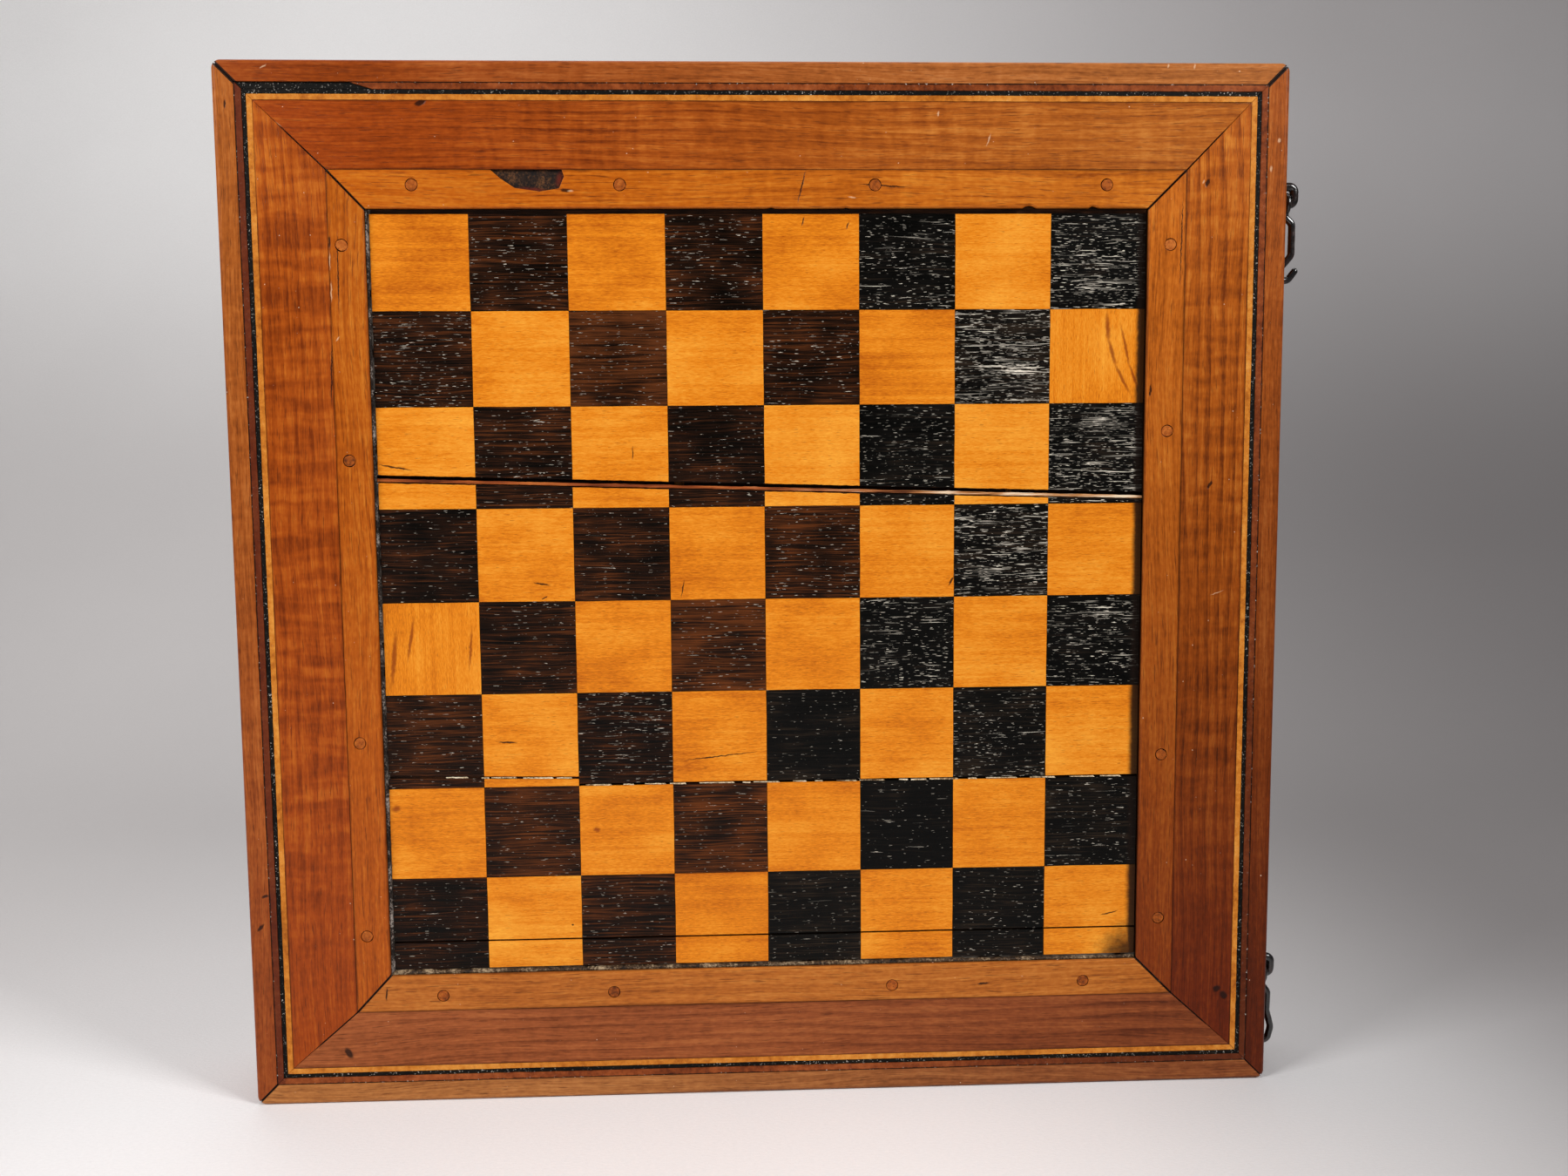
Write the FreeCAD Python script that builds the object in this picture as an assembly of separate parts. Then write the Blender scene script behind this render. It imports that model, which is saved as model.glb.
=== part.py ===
import FreeCAD, Part
import math
import os
from collections import namedtuple

# Folding chess and backgammon board: two shallow mitred trays, hinged along one side.
# The closed box stands on its lower edge, chess face to the front.
# X runs to the right across the chess face, Y runs away from the viewer, Z is up.
# The origin is at floor level, midway along the lower edge, in the plane where the rims meet.
# All sizes are in millimetres.

# Case: depth of one tray, walls and the play between the two rims
TRAY_DEPTH = 27.0
WALL = 8.4
CORNER_RADIUS = 3.5
FACE_EDGE_RADIUS = 1.8
PARTING_GAP = 0.4
WALL_MITRE_GAP = 0.5

# Playing field and the layers that make up a tray's face, from outside to inside
SQUARES_PER_SIDE = 8
SQUARE_WIDTH = 38.3
SQUARE_HEIGHT = 37.4
SQUARE_JOINT = 0.12
FIELD_MARGINS = {"top": 1.7, "bottom": 1.7, "left": 1.3, "right": 0.2}
FRAME_THICKNESS = 3.2
VENEER = 1.0
PLANK_THICKNESS = 6.0
PLANK_TONGUE = 3.0
GROOVE_FIT = 0.1
LINING_THICKNESS = 1.2
LINING_FIT = 0.2

# Face frame: fillet and two strings inside the wall, then the broad band and the pegged strip
FILLET_WIDTH = 2.8
BLACK_STRING_WIDTH = 1.8
LIGHT_STRING_WIDTH = 2.3
BAND_WIDTHS = {"top": 26.1, "bottom": 23.2, "left": 26.8, "right": 25.5}
STRIP_WIDTHS = {"top": 14.9, "bottom": 15.2, "left": 14.1, "right": 15.1}
STRIP_EDGE_RADIUS = 0.9
FRAME_SEAM = 0.12
FRAME_MITRE_GAP = 0.25

# Wooden pegs through the strips: end pegs, middle pegs and how far each one wanders along its side
PEG_RADIUS = 2.5
PEG_FIT = 0.02
PEG_BITE = 5.0
PEG_FROM_FIELD = 9.1
PEG_END_INSET = 17.5
PEG_MIDDLE_OFFSET = 55.0
PEG_WANDER = {
    "top": (1.0, 0.0, -10.0, 0.6),
    "bottom": (3.4, -8.3, -3.3, -4.8),
    "left": (-3.6, -1.2, 1.9, 0.8),
    "right": (-3.4, -10.6, 12.0, 0.3),
}

# Joints between the planks: how many rows down each one starts at the left and ends at the right,
# counted when the joints were still tight, and how far it has opened since
PlankJoint = namedtuple("PlankJoint", "left_rows right_rows gap")
CHESS_PLANK_JOINTS = (
    PlankJoint(2.71, 2.96, 2.9),
    PlankJoint(6.0, 6.0, 0.9),
    PlankJoint(7.70, 7.70, 0.6),
)
BACK_PLANK_JOINTS = (
    PlankJoint(2.60, 2.68, 0.5),
    PlankJoint(5.40, 5.35, 0.5),
)

# Backgammon points, laid into the lining from the top and bottom walls
POINTS_PER_ROW = 6
POINT_TIP_GAP = 68.0
POINT_SPACING = 7.0

# Butt hinges on the left-hand rims
HINGE_INSET = 82.0
LEAF_LENGTH = 42.0
LEAF_WIDTH = 7.2
LEAF_THICKNESS = 1.4
LEAF_FIT = 0.1
KNUCKLE_COUNT = 3
KNUCKLE_RADIUS = 3.0
KNUCKLE_GAP = 0.3
PIN_STANDOFF = 3.4
PIN_RADIUS = 1.15
PIN_PLAY = 0.05
PIN_HEAD_RADIUS = 2.1
PIN_HEAD_HEIGHT = 1.2

# Countersunk hinge screws
SCREWS_PER_LEAF = 3
SCREW_PITCH = 14.0
SCREW_HEAD_RADIUS = 2.1
SCREW_HEAD_HEIGHT = 1.1
SCREW_SHANK_RADIUS = 1.05
SCREW_LENGTH = 10.0
SCREW_SLOT_WIDTH = 0.6
SCREW_SLOT_DEPTH = 0.45

# Staples that carry the hooks, on the chess tray
STAPLE_WIRE_RADIUS = 1.9
STAPLE_HEIGHT = 7.0
STAPLE_BEND = 2.1
STAPLE_LEG_TO_GROOVE = 0.5
STAPLE_SETBACK = 10.4
UPPER_STAPLE_DROP = 48.7
UPPER_STAPLE_STANDOFF = 9.0
LOWER_STAPLE_RISE = 43.7
LOWER_STAPLE_STANDOFF = 7.5

# Staples that catch the hooks, on the back tray
CATCH_WIRE_RADIUS = 1.3
CATCH_HEIGHT = 7.6
CATCH_BEND = 2.2

# Iron hooks: an eye round the staple's lower leg, and a wire bent in the plane square to the wall
HOOK_WIRE_RADIUS = 1.55
HOOK_EYE_WIRE_RADIUS = 1.25
HOOK_EYE_PLAY = 0.3
HOOK_EYE_TO_CROWN = 0.25

# Hook bends as (distance off the wall, distance from the eye's centre, bend radius), eye to tip
HookBend = namedtuple("HookBend", "off_wall reach radius")
UPPER_HOOK_BENDS = (
    HookBend(5.6, 5.2, 2.2),
    HookBend(8.45, 7.8, 2.6),
    HookBend(8.45, 20.6, 3.0),
    HookBend(3.4, 26.4, 3.0),
    HookBend(4.2, 34.6, 2.4),
    HookBend(10.0, 27.0, 0.0),
)
LOWER_HOOK_BENDS = (
    HookBend(4.1, 5.4, 2.4),
    HookBend(6.7, 8.6, 3.4),
    HookBend(6.5, 17.0, 6.0),
    HookBend(8.5, 24.3, 5.0),
    HookBend(6.8, 31.0, 2.6),
    HookBend(2.4, 29.6, 0.0),
)
UPPER_CATCH_REACH = 18.0
UPPER_CATCH_STANDOFF = 5.1
LOWER_CATCH_REACH = 24.0
LOWER_CATCH_STANDOFF = 4.9

OUT = "parts"
SIDES = ("top", "bottom", "left", "right")
Vector = FreeCAD.Vector
Rect = namedtuple("Rect", "left right bottom top")


# Planes of the chess tray along Y; the back tray is their mirror image

FACE_Y = -TRAY_DEPTH
RIM_Y = -PARTING_GAP / 2
PLANK_FACE_Y = FACE_Y + FRAME_THICKNESS
PLANK_BACK_Y = PLANK_FACE_Y + PLANK_THICKNESS
LINING_Y = PLANK_BACK_Y + LINING_THICKNESS


# Outlines in the XZ plane

def inset(rect, by):
    """The rectangle drawn in by one distance, or by one distance per side."""
    if not isinstance(by, dict):
        by = dict.fromkeys(SIDES, by)
    return Rect(
        rect.left + by["left"],
        rect.right - by["right"],
        rect.bottom + by["bottom"],
        rect.top - by["top"],
    )


def outset(rect, by):
    """The rectangle grown by one distance, or by one distance per side."""
    if not isinstance(by, dict):
        by = dict.fromkeys(SIDES, by)
    return inset(rect, {side: -by[side] for side in SIDES})


def frame_width(*sides):
    """Everything from the outside of the case to the field, added up over some sides."""
    plain = WALL + FILLET_WIDTH + BLACK_STRING_WIDTH + LIGHT_STRING_WIDTH
    return sum(plain + BAND_WIDTHS[side] + STRIP_WIDTHS[side] for side in sides)


def field_size(square, first_side, last_side):
    """The field's size in one direction: its squares and the margins at both ends."""
    return SQUARES_PER_SIDE * square + FIELD_MARGINS[first_side] + FIELD_MARGINS[last_side]


OPENED = sum(joint.gap for joint in CHESS_PLANK_JOINTS)
BOX_WIDTH = field_size(SQUARE_WIDTH, "left", "right") + frame_width("left", "right")
BOX_HEIGHT = field_size(SQUARE_HEIGHT, "top", "bottom") + OPENED + frame_width("top", "bottom")

CASE = Rect(-BOX_WIDTH / 2, BOX_WIDTH / 2, 0.0, BOX_HEIGHT)
INSIDE = inset(CASE, WALL)
FILLET_INSIDE = inset(INSIDE, FILLET_WIDTH)
BLACK_INSIDE = inset(FILLET_INSIDE, BLACK_STRING_WIDTH)
LIGHT_INSIDE = inset(BLACK_INSIDE, LIGHT_STRING_WIDTH)
STRIP_OUTSIDE = inset(LIGHT_INSIDE, BAND_WIDTHS)
FIELD = inset(STRIP_OUTSIDE, STRIP_WIDTHS)
BOARD = inset(FIELD, FIELD_MARGINS)
PANEL = outset(INSIDE, PLANK_TONGUE)
LINING = inset(INSIDE, LINING_FIT)


def corners(rect):
    """The rectangle's corners in order round it."""
    return [
        (rect.left, rect.bottom),
        (rect.right, rect.bottom),
        (rect.right, rect.top),
        (rect.left, rect.top),
    ]


def mitred_outline(side, outer, inner, mitre_gap):
    """Corners of one member of a mitred frame, with half of the gap taken off at each mitre."""
    back = mitre_gap / math.sqrt(2)
    if side in ("top", "bottom"):
        outer_z = getattr(outer, side)
        inner_z = getattr(inner, side)
        return [
            (outer.left + back, outer_z),
            (outer.right - back, outer_z),
            (inner.right - back, inner_z),
            (inner.left + back, inner_z),
        ]
    outer_x = getattr(outer, side)
    inner_x = getattr(inner, side)
    return [
        (outer_x, outer.bottom + back),
        (outer_x, outer.top - back),
        (inner_x, inner.top - back),
        (inner_x, inner.bottom + back),
    ]


# Solids

def prism(points, y_from, y_to):
    """A polygon in the XZ plane, run from one Y to another."""
    ring = [Vector(x, y_from, z) for x, z in points]
    face = Part.Face(Part.makePolygon(ring + ring[:1]))
    return face.extrude(Vector(0, y_to - y_from, 0))


def slab(rect, y_from, y_to):
    """A rectangle in the XZ plane, run from one Y to another."""
    return prism(corners(rect), y_from, y_to)


def rod_along_y(radius, x, z, y_from, y_to):
    """A round rod square to the chess face."""
    start = Vector(x, min(y_from, y_to), z)
    return Part.makeCylinder(radius, abs(y_to - y_from), start, Vector(0, 1, 0))


def group(solids):
    """Separate solids kept in one shape."""
    return Part.makeCompound(list(solids))


def to_back(shape):
    """The same piece on the back tray: its mirror image in the parting plane."""
    return shape.mirror(Vector(0, 0, 0), Vector(0, 1, 0))


def cut_all(shape, tools):
    """The shape with every tool taken out of it."""
    tools = list(tools)
    return shape.cut(tools) if tools else shape


# Case walls

def rounded_block():
    """The tray's outside: a block with rounded corners and a rounded face edge."""
    block = slab(CASE, FACE_Y, RIM_Y)
    upright = [e for e in block.Edges if e.tangentAt(e.FirstParameter).cross(Vector(0, 1, 0)).Length < 0.5]
    block = block.makeFillet(CORNER_RADIUS, upright)
    on_face = [e for e in block.Edges if abs(e.BoundBox.YMax - FACE_Y) < PARTING_GAP / 2]
    return block.makeFillet(FACE_EDGE_RADIUS, on_face)


def walls(hardware):
    """The four mitred walls of a tray, grooved for the planks and bored for the hardware."""
    groove = slab(outset(PANEL, GROOVE_FIT), PLANK_FACE_Y - GROOVE_FIT, PLANK_BACK_Y + GROOVE_FIT)
    shell = rounded_block().cut([slab(INSIDE, FACE_Y, RIM_Y), groove])
    shell = cut_all(shell, hardware)
    reach = outset(CASE, WALL)
    return {
        side: shell.common(prism(mitred_outline(side, reach, INSIDE, WALL_MITRE_GAP), FACE_Y, RIM_Y))
        for side in SIDES
    }


# Planks and squares: laid out with tight joints, then moved down by the joints opened above them

def joint_line(joint, within):
    """A tight plank joint, run straight across a rectangle from its left side to its right side."""
    left_z = BOARD.top - joint.left_rows * SQUARE_HEIGHT
    fall = (joint.right_rows - joint.left_rows) * SQUARE_HEIGHT / (BOARD.right - BOARD.left)
    return [(x, left_z - fall * (x - BOARD.left)) for x in (within.left, within.right)]


def laid_planks(joints, within):
    """Outlines of the tight planks cut to a rectangle, top to bottom, and how far each has moved down."""
    total = sum(joint.gap for joint in joints)
    top_edge = [(within.left, within.top), (within.right, within.top)]
    bottom_edge = [(within.left, within.bottom + total), (within.right, within.bottom + total)]
    lines = [top_edge, *(joint_line(joint, within) for joint in joints), bottom_edge]
    moved = 0.0
    found = []
    for index, (upper, lower) in enumerate(zip(lines, lines[1:])):
        found.append(([*upper, *reversed(lower)], moved))
        if index < len(joints):
            moved += joints[index].gap
    return found


def planks(joints, pegs):
    """The planks of a tray's panel, bored for the pegs."""
    found = []
    for outline, moved in laid_planks(joints, PANEL):
        plank = prism(outline, PLANK_FACE_Y, PLANK_BACK_Y)
        plank.translate(Vector(0, 0, -moved))
        found.append(cut_all(plank, pegs))
    return found


def chess_squares(shade):
    """The squares of one shade, as veneer on the planks, split wherever a plank joint runs through."""
    veneer_y = PLANK_FACE_Y - VENEER
    squares = []
    for row in range(SQUARES_PER_SIDE):
        for column in range(SQUARES_PER_SIDE):
            if (row + column) % 2 == shade:
                left = BOARD.left + column * SQUARE_WIDTH
                top = BOARD.top - row * SQUARE_HEIGHT
                cell = Rect(left, left + SQUARE_WIDTH, top - SQUARE_HEIGHT, top)
                squares.append(slab(inset(cell, SQUARE_JOINT / 2), veneer_y, PLANK_FACE_Y))
    pieces = []
    for outline, moved in laid_planks(CHESS_PLANK_JOINTS, FIELD):
        on_plank = group(squares).common(prism(outline, veneer_y, PLANK_FACE_Y))
        on_plank.translate(Vector(0, 0, -moved))
        pieces += on_plank.Solids
    return group(pieces)


# Face frame

def frame_ring(outer, inner):
    """Four mitred members between two rectangles, with half a seam left free on both sides."""
    outer = inset(outer, FRAME_SEAM / 2)
    inner = outset(inner, FRAME_SEAM / 2)
    return {
        side: prism(mitred_outline(side, outer, inner, FRAME_MITRE_GAP), FACE_Y, PLANK_FACE_Y)
        for side in SIDES
    }


def strips(pegs):
    """The pegged strips round the field, each with its inner edge rounded over."""
    outer = inset(STRIP_OUTSIDE, FRAME_SEAM / 2)
    pieces = {}
    for side in SIDES:
        piece = prism(mitred_outline(side, outer, FIELD, FRAME_MITRE_GAP), FACE_Y, PLANK_FACE_Y)
        inner_edge = getattr(FIELD, side)
        upright = side in ("left", "right")

        def lies_on_inner_edge(edge):
            box = edge.BoundBox
            across = (box.XMin, box.XMax) if upright else (box.ZMin, box.ZMax)
            on_line = all(abs(value - inner_edge) < STRIP_EDGE_RADIUS / 2 for value in across)
            return on_line and abs(box.YMax - FACE_Y) < STRIP_EDGE_RADIUS / 2

        edges = [e for e in piece.Edges if lies_on_inner_edge(e)]
        pieces[side] = cut_all(piece.makeFillet(STRIP_EDGE_RADIUS, edges), pegs)
    return pieces


def peg_places():
    """Centres (x, z) of all pegs, four to a strip."""
    line = outset(FIELD, PEG_FROM_FIELD)
    middle_x = (FIELD.left + FIELD.right) / 2
    middle_z = (FIELD.bottom + FIELD.top) / 2
    places = []
    for side in SIDES:
        upright = side in ("left", "right")
        half = (FIELD.top - FIELD.bottom if upright else FIELD.right - FIELD.left) / 2
        end = half - PEG_END_INSET
        stations = (-end, -PEG_MIDDLE_OFFSET, PEG_MIDDLE_OFFSET, end)
        for station, wander in zip(stations, PEG_WANDER[side]):
            along = station + wander
            if upright:
                places.append((getattr(line, side), middle_z - along))
            else:
                places.append((middle_x + along, getattr(line, side)))
    return places


def pegs(radius):
    """The pegs as rods through the strips into the planks, or their holes at a larger radius."""
    return [rod_along_y(radius, x, z, FACE_Y, PLANK_FACE_Y + PEG_BITE) for x, z in peg_places()]


# Backgammon lining

def points(first_shade):
    """The backgammon points of a tray as (shade, solid), alternating along and across the board."""
    pitch = (LINING.right - LINING.left) / POINTS_PER_ROW
    half_base = (pitch - POINT_SPACING) / 2
    length = (LINING.top - LINING.bottom - POINT_TIP_GAP) / 2
    found = []
    for base, tip in ((LINING.top, LINING.top - length), (LINING.bottom, LINING.bottom + length)):
        for index in range(POINTS_PER_ROW):
            x = LINING.left + (index + 0.5) * pitch
            outline = [(x - half_base, base), (x + half_base, base), (x, tip)]
            shade = (index + first_shade + (base == LINING.bottom)) % 2
            found.append((shade, prism(outline, PLANK_BACK_Y, LINING_Y)))
    return found


# Hinges

PIN_X = CASE.left - PIN_STANDOFF
KNUCKLE_LENGTH = (LEAF_LENGTH - (KNUCKLE_COUNT - 1) * KNUCKLE_GAP) / KNUCKLE_COUNT
HINGE_HEIGHTS = {"upper": BOX_HEIGHT - HINGE_INSET, "lower": HINGE_INSET}


def knuckle_bottoms(height, first):
    """Lower ends of every second knuckle of a hinge centred at a height, from the first one named."""
    pitch = KNUCKLE_LENGTH + KNUCKLE_GAP
    return [height - LEAF_LENGTH / 2 + index * pitch for index in range(first, KNUCKLE_COUNT, 2)]


def screw_heights(height):
    """Heights of a leaf's screws."""
    middle = (SCREWS_PER_LEAF - 1) / 2
    return [height + (index - middle) * SCREW_PITCH for index in range(SCREWS_PER_LEAF)]


def hinge_screw(height, slotted):
    """A countersunk screw driven into the chess tray's rim."""
    x = CASE.left + LEAF_WIDTH / 2
    inward = Vector(0, -1, 0)
    head = Part.makeCone(
        SCREW_HEAD_RADIUS, SCREW_SHANK_RADIUS, SCREW_HEAD_HEIGHT, Vector(x, RIM_Y, height), inward
    )
    under_head = Vector(x, RIM_Y - SCREW_HEAD_HEIGHT, height)
    shank_length = SCREW_LENGTH - SCREW_HEAD_HEIGHT
    screw = head.fuse(Part.makeCylinder(SCREW_SHANK_RADIUS, shank_length, under_head, inward))
    if slotted:
        half_slot = SCREW_SLOT_WIDTH / 2
        slot = Rect(x - SCREW_HEAD_RADIUS, x + SCREW_HEAD_RADIUS, height - half_slot, height + half_slot)
        screw = screw.cut(slab(slot, RIM_Y - SCREW_SLOT_DEPTH, RIM_Y))
    return screw.removeSplitter()


def hinge_leaf(height, first_knuckle):
    """A leaf let into the chess tray's rim, with its knuckles round the pin."""
    half = LEAF_LENGTH / 2
    leaf_y = RIM_Y - LEAF_THICKNESS
    plate = slab(Rect(CASE.left, CASE.left + LEAF_WIDTH, height - half, height + half), leaf_y, RIM_Y)
    for bottom in knuckle_bottoms(height, first_knuckle):
        web = slab(Rect(PIN_X, CASE.left, bottom, bottom + KNUCKLE_LENGTH), leaf_y, RIM_Y)
        barrel = Part.makeCylinder(KNUCKLE_RADIUS, KNUCKLE_LENGTH, Vector(PIN_X, 0, bottom))
        plate = plate.fuse([web, barrel])
    bore = Part.makeCylinder(PIN_RADIUS + PIN_PLAY, LEAF_LENGTH, Vector(PIN_X, 0, height - half))
    holes = [hinge_screw(z, slotted=False) for z in screw_heights(height)]
    return plate.cut([bore, *holes]).removeSplitter()


def hinge_pin(height):
    """A pin through all knuckles with a domed head at each end."""
    foot = height - LEAF_LENGTH / 2 - PIN_PLAY
    length = LEAF_LENGTH + 2 * PIN_PLAY
    pin = Part.makeCylinder(PIN_RADIUS, length, Vector(PIN_X, 0, foot))
    for z, up in ((foot, -1), (foot + length, 1)):
        head = Part.makeCylinder(PIN_HEAD_RADIUS, PIN_HEAD_HEIGHT, Vector(PIN_X, 0, z), Vector(0, 0, up))
        rim = [e for e in head.Edges if abs(e.BoundBox.ZMax - (z + up * PIN_HEAD_HEIGHT)) < PIN_PLAY]
        pin = pin.fuse(head.makeFillet(PIN_HEAD_HEIGHT / 2, rim))
    return pin.removeSplitter()


def leaf_mortise(height):
    """The pocket in the chess tray's rim that a hinge leaf drops into."""
    half = LEAF_LENGTH / 2 + LEAF_FIT
    pocket = Rect(CASE.left, CASE.left + LEAF_WIDTH + LEAF_FIT, height - half, height + half)
    return slab(pocket, RIM_Y - LEAF_THICKNESS - LEAF_FIT, RIM_Y)


# Hooks and staples on the right-hand walls

def wire_along(points, radii, wire_radius):
    """A round wire along straight runs joined by tangent arcs, one radius for each point between the ends."""
    edges = []
    start = points[0]
    for before, corner, after, radius in zip(points, points[1:], points[2:], radii):
        back = (before - corner).normalize()
        ahead = (after - corner).normalize()
        half_turn = (math.pi - back.getAngle(ahead)) / 2
        trim = radius * math.tan(half_turn)
        arc_start = corner + back * trim
        arc_end = corner + ahead * trim
        middle = (back + ahead).normalize()
        arc_middle = corner + middle * (radius / math.cos(half_turn) - radius)
        edges.append(Part.LineSegment(start, arc_start).toShape())
        edges.append(Part.Arc(arc_start, arc_middle, arc_end).toShape())
        start = arc_end
    edges.append(Part.LineSegment(start, points[-1]).toShape())
    path = Part.Wire(edges)
    profile = Part.Wire(Part.makeCircle(wire_radius, points[0], points[1] - points[0]))
    return path.makePipeShell([profile], True, False)


def staple(y, z, height, standoff, bend, wire_radius):
    """A bent wire with its crown upright and both legs in the right-hand wall, short of the plank groove."""
    half = height / 2
    root = PANEL.right + GROOVE_FIT + STAPLE_LEG_TO_GROOVE
    crown = CASE.right + standoff
    route = [(root, z + half), (crown, z + half), (crown, z - half), (root, z - half)]
    return wire_along([Vector(px, y, pz) for px, pz in route], [bend, bend], wire_radius)


def hook(bends, staple_standoff, z):
    """A hook hanging from a staple leg at a height: its eye, and the bent wire below with a rounded tip."""
    y = -STAPLE_SETBACK
    eye_radius = STAPLE_WIRE_RADIUS + HOOK_EYE_PLAY + HOOK_EYE_WIRE_RADIUS
    eye_standoff = staple_standoff - STAPLE_WIRE_RADIUS - HOOK_EYE_TO_CROWN - HOOK_EYE_WIRE_RADIUS
    eye_centre = Vector(CASE.right + eye_standoff, y, z)
    eye = Part.makeTorus(eye_radius, HOOK_EYE_WIRE_RADIUS, eye_centre, Vector(1, 0, 0))
    route = [eye_centre - Vector(0, 0, eye_radius)]
    route += [Vector(CASE.right + bend.off_wall, y, z - bend.reach) for bend in bends]
    wire = wire_along(route, [bend.radius for bend in bends[:-1]], HOOK_WIRE_RADIUS)
    tip = Part.makeSphere(HOOK_WIRE_RADIUS, route[-1])
    return eye.fuse([wire, tip]).removeSplitter()


Latch = namedtuple("Latch", "staple_z staple_standoff hook_bends catch_reach catch_standoff")
LATCHES = {
    "upper": Latch(
        BOX_HEIGHT - UPPER_STAPLE_DROP,
        UPPER_STAPLE_STANDOFF,
        UPPER_HOOK_BENDS,
        UPPER_CATCH_REACH,
        UPPER_CATCH_STANDOFF,
    ),
    "lower": Latch(
        LOWER_STAPLE_RISE,
        LOWER_STAPLE_STANDOFF,
        LOWER_HOOK_BENDS,
        LOWER_CATCH_REACH,
        LOWER_CATCH_STANDOFF,
    ),
}


def latch(place):
    """One latch as its hook, the staple that carries it and the staple that catches it."""
    made = LATCHES[place]
    leg_z = made.staple_z - STAPLE_HEIGHT / 2
    carrier = staple(
        -STAPLE_SETBACK, made.staple_z, STAPLE_HEIGHT, made.staple_standoff, STAPLE_BEND, STAPLE_WIRE_RADIUS
    )
    catch_y = made.catch_reach - STAPLE_SETBACK
    catch = staple(catch_y, leg_z, CATCH_HEIGHT, made.catch_standoff, CATCH_BEND, CATCH_WIRE_RADIUS)
    return hook(made.hook_bends, made.staple_standoff, leg_z), carrier, catch


# Assembly

def tray_nodes(name, joints, first_shade, hardware):
    """Nodes that both trays share, in the chess tray's place, with the planks as a list."""
    holes = pegs(PEG_RADIUS + PEG_FIT)
    nodes = {f"{name}_wall_{side}": piece for side, piece in walls(hardware).items()}
    rings = {
        "fillet": frame_ring(INSIDE, FILLET_INSIDE),
        "black_string": frame_ring(FILLET_INSIDE, BLACK_INSIDE),
        "light_string": frame_ring(BLACK_INSIDE, LIGHT_INSIDE),
    }
    for ring, members in rings.items():
        nodes[f"{name}_{ring}"] = group(members.values())
    for side, piece in frame_ring(LIGHT_INSIDE, STRIP_OUTSIDE).items():
        nodes[f"{name}_band_{side}"] = piece
    for side, piece in strips(holes).items():
        nodes[f"{name}_strip_{side}"] = piece
    nodes[f"{name}_pegs"] = group(pegs(PEG_RADIUS))
    laid_in = points(first_shade)
    nodes[f"{name}_lining"] = slab(LINING, PLANK_BACK_Y, LINING_Y).cut([solid for _, solid in laid_in])
    for shade, word in enumerate(("light", "dark")):
        nodes[f"{name}_{word}_points"] = group(solid for tone, solid in laid_in if tone == shade)
    return nodes, planks(joints, holes)


def build():
    """Every node of the board by name, in place."""
    latches = {place: latch(place) for place in LATCHES}
    mortises = [leaf_mortise(z) for z in HINGE_HEIGHTS.values()]
    screw_holes = [hinge_screw(h, slotted=False) for z in HINGE_HEIGHTS.values() for h in screw_heights(z)]
    screws = [hinge_screw(h, slotted=True) for z in HINGE_HEIGHTS.values() for h in screw_heights(z)]
    rim_cuts = [*mortises, *screw_holes]

    carriers = [carrier for _, carrier, _ in latches.values()]
    nodes, chess_planks = tray_nodes("chess", CHESS_PLANK_JOINTS, 0, [*rim_cuts, *carriers])
    for number, plank in enumerate(chess_planks, 1):
        nodes[f"chess_plank_{number}"] = plank
    nodes["light_squares"] = chess_squares(0)
    nodes["dark_squares"] = chess_squares(1)
    nodes["chess_hinge_screws"] = group(screws)

    mirrored_catches = [to_back(catch) for _, _, catch in latches.values()]
    back, back_planks = tray_nodes("back", BACK_PLANK_JOINTS, 1, [*rim_cuts, *mirrored_catches])
    back["back_planks"] = group(back_planks)
    back["back_hinge_screws"] = group(screws)
    nodes.update({name: to_back(shape) for name, shape in back.items()})

    for place, height in HINGE_HEIGHTS.items():
        nodes[f"{place}_hinge_chess_leaf"] = hinge_leaf(height, 0)
        nodes[f"{place}_hinge_back_leaf"] = to_back(hinge_leaf(height, 1))
        nodes[f"{place}_hinge_pin"] = hinge_pin(height)
    for place, (hanging, carrier, catch) in latches.items():
        nodes[f"{place}_hook"] = hanging
        nodes[f"{place}_hook_staple"] = carrier
        nodes[f"{place}_catch_staple"] = catch
    return nodes


def main():
    os.makedirs(OUT, exist_ok=True)
    for name, shape in build().items():
        shape.exportStep(os.path.join(OUT, f"{name}.step"))
        print(f"{name}: {len(shape.Solids)} solids, {shape.Volume / 1000:.2f} cm3, valid {shape.isValid()}")


main()
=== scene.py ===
import math
import random

import bmesh
import bpy
from mathutils import Matrix, Vector, noise

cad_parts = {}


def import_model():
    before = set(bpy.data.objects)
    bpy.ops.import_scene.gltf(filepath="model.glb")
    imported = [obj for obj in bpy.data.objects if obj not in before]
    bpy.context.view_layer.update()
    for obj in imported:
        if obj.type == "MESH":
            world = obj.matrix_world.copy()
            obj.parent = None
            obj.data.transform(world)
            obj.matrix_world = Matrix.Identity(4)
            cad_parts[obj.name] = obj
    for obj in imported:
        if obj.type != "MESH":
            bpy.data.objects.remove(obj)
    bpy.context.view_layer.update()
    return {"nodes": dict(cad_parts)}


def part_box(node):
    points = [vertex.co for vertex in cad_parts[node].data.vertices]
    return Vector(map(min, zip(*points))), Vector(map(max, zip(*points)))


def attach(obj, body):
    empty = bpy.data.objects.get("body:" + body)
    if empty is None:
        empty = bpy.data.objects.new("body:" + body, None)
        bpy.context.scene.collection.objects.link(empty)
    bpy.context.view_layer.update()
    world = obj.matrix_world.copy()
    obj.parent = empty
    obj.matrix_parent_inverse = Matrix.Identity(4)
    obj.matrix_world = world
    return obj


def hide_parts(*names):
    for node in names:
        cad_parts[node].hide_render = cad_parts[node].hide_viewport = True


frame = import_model()

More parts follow.
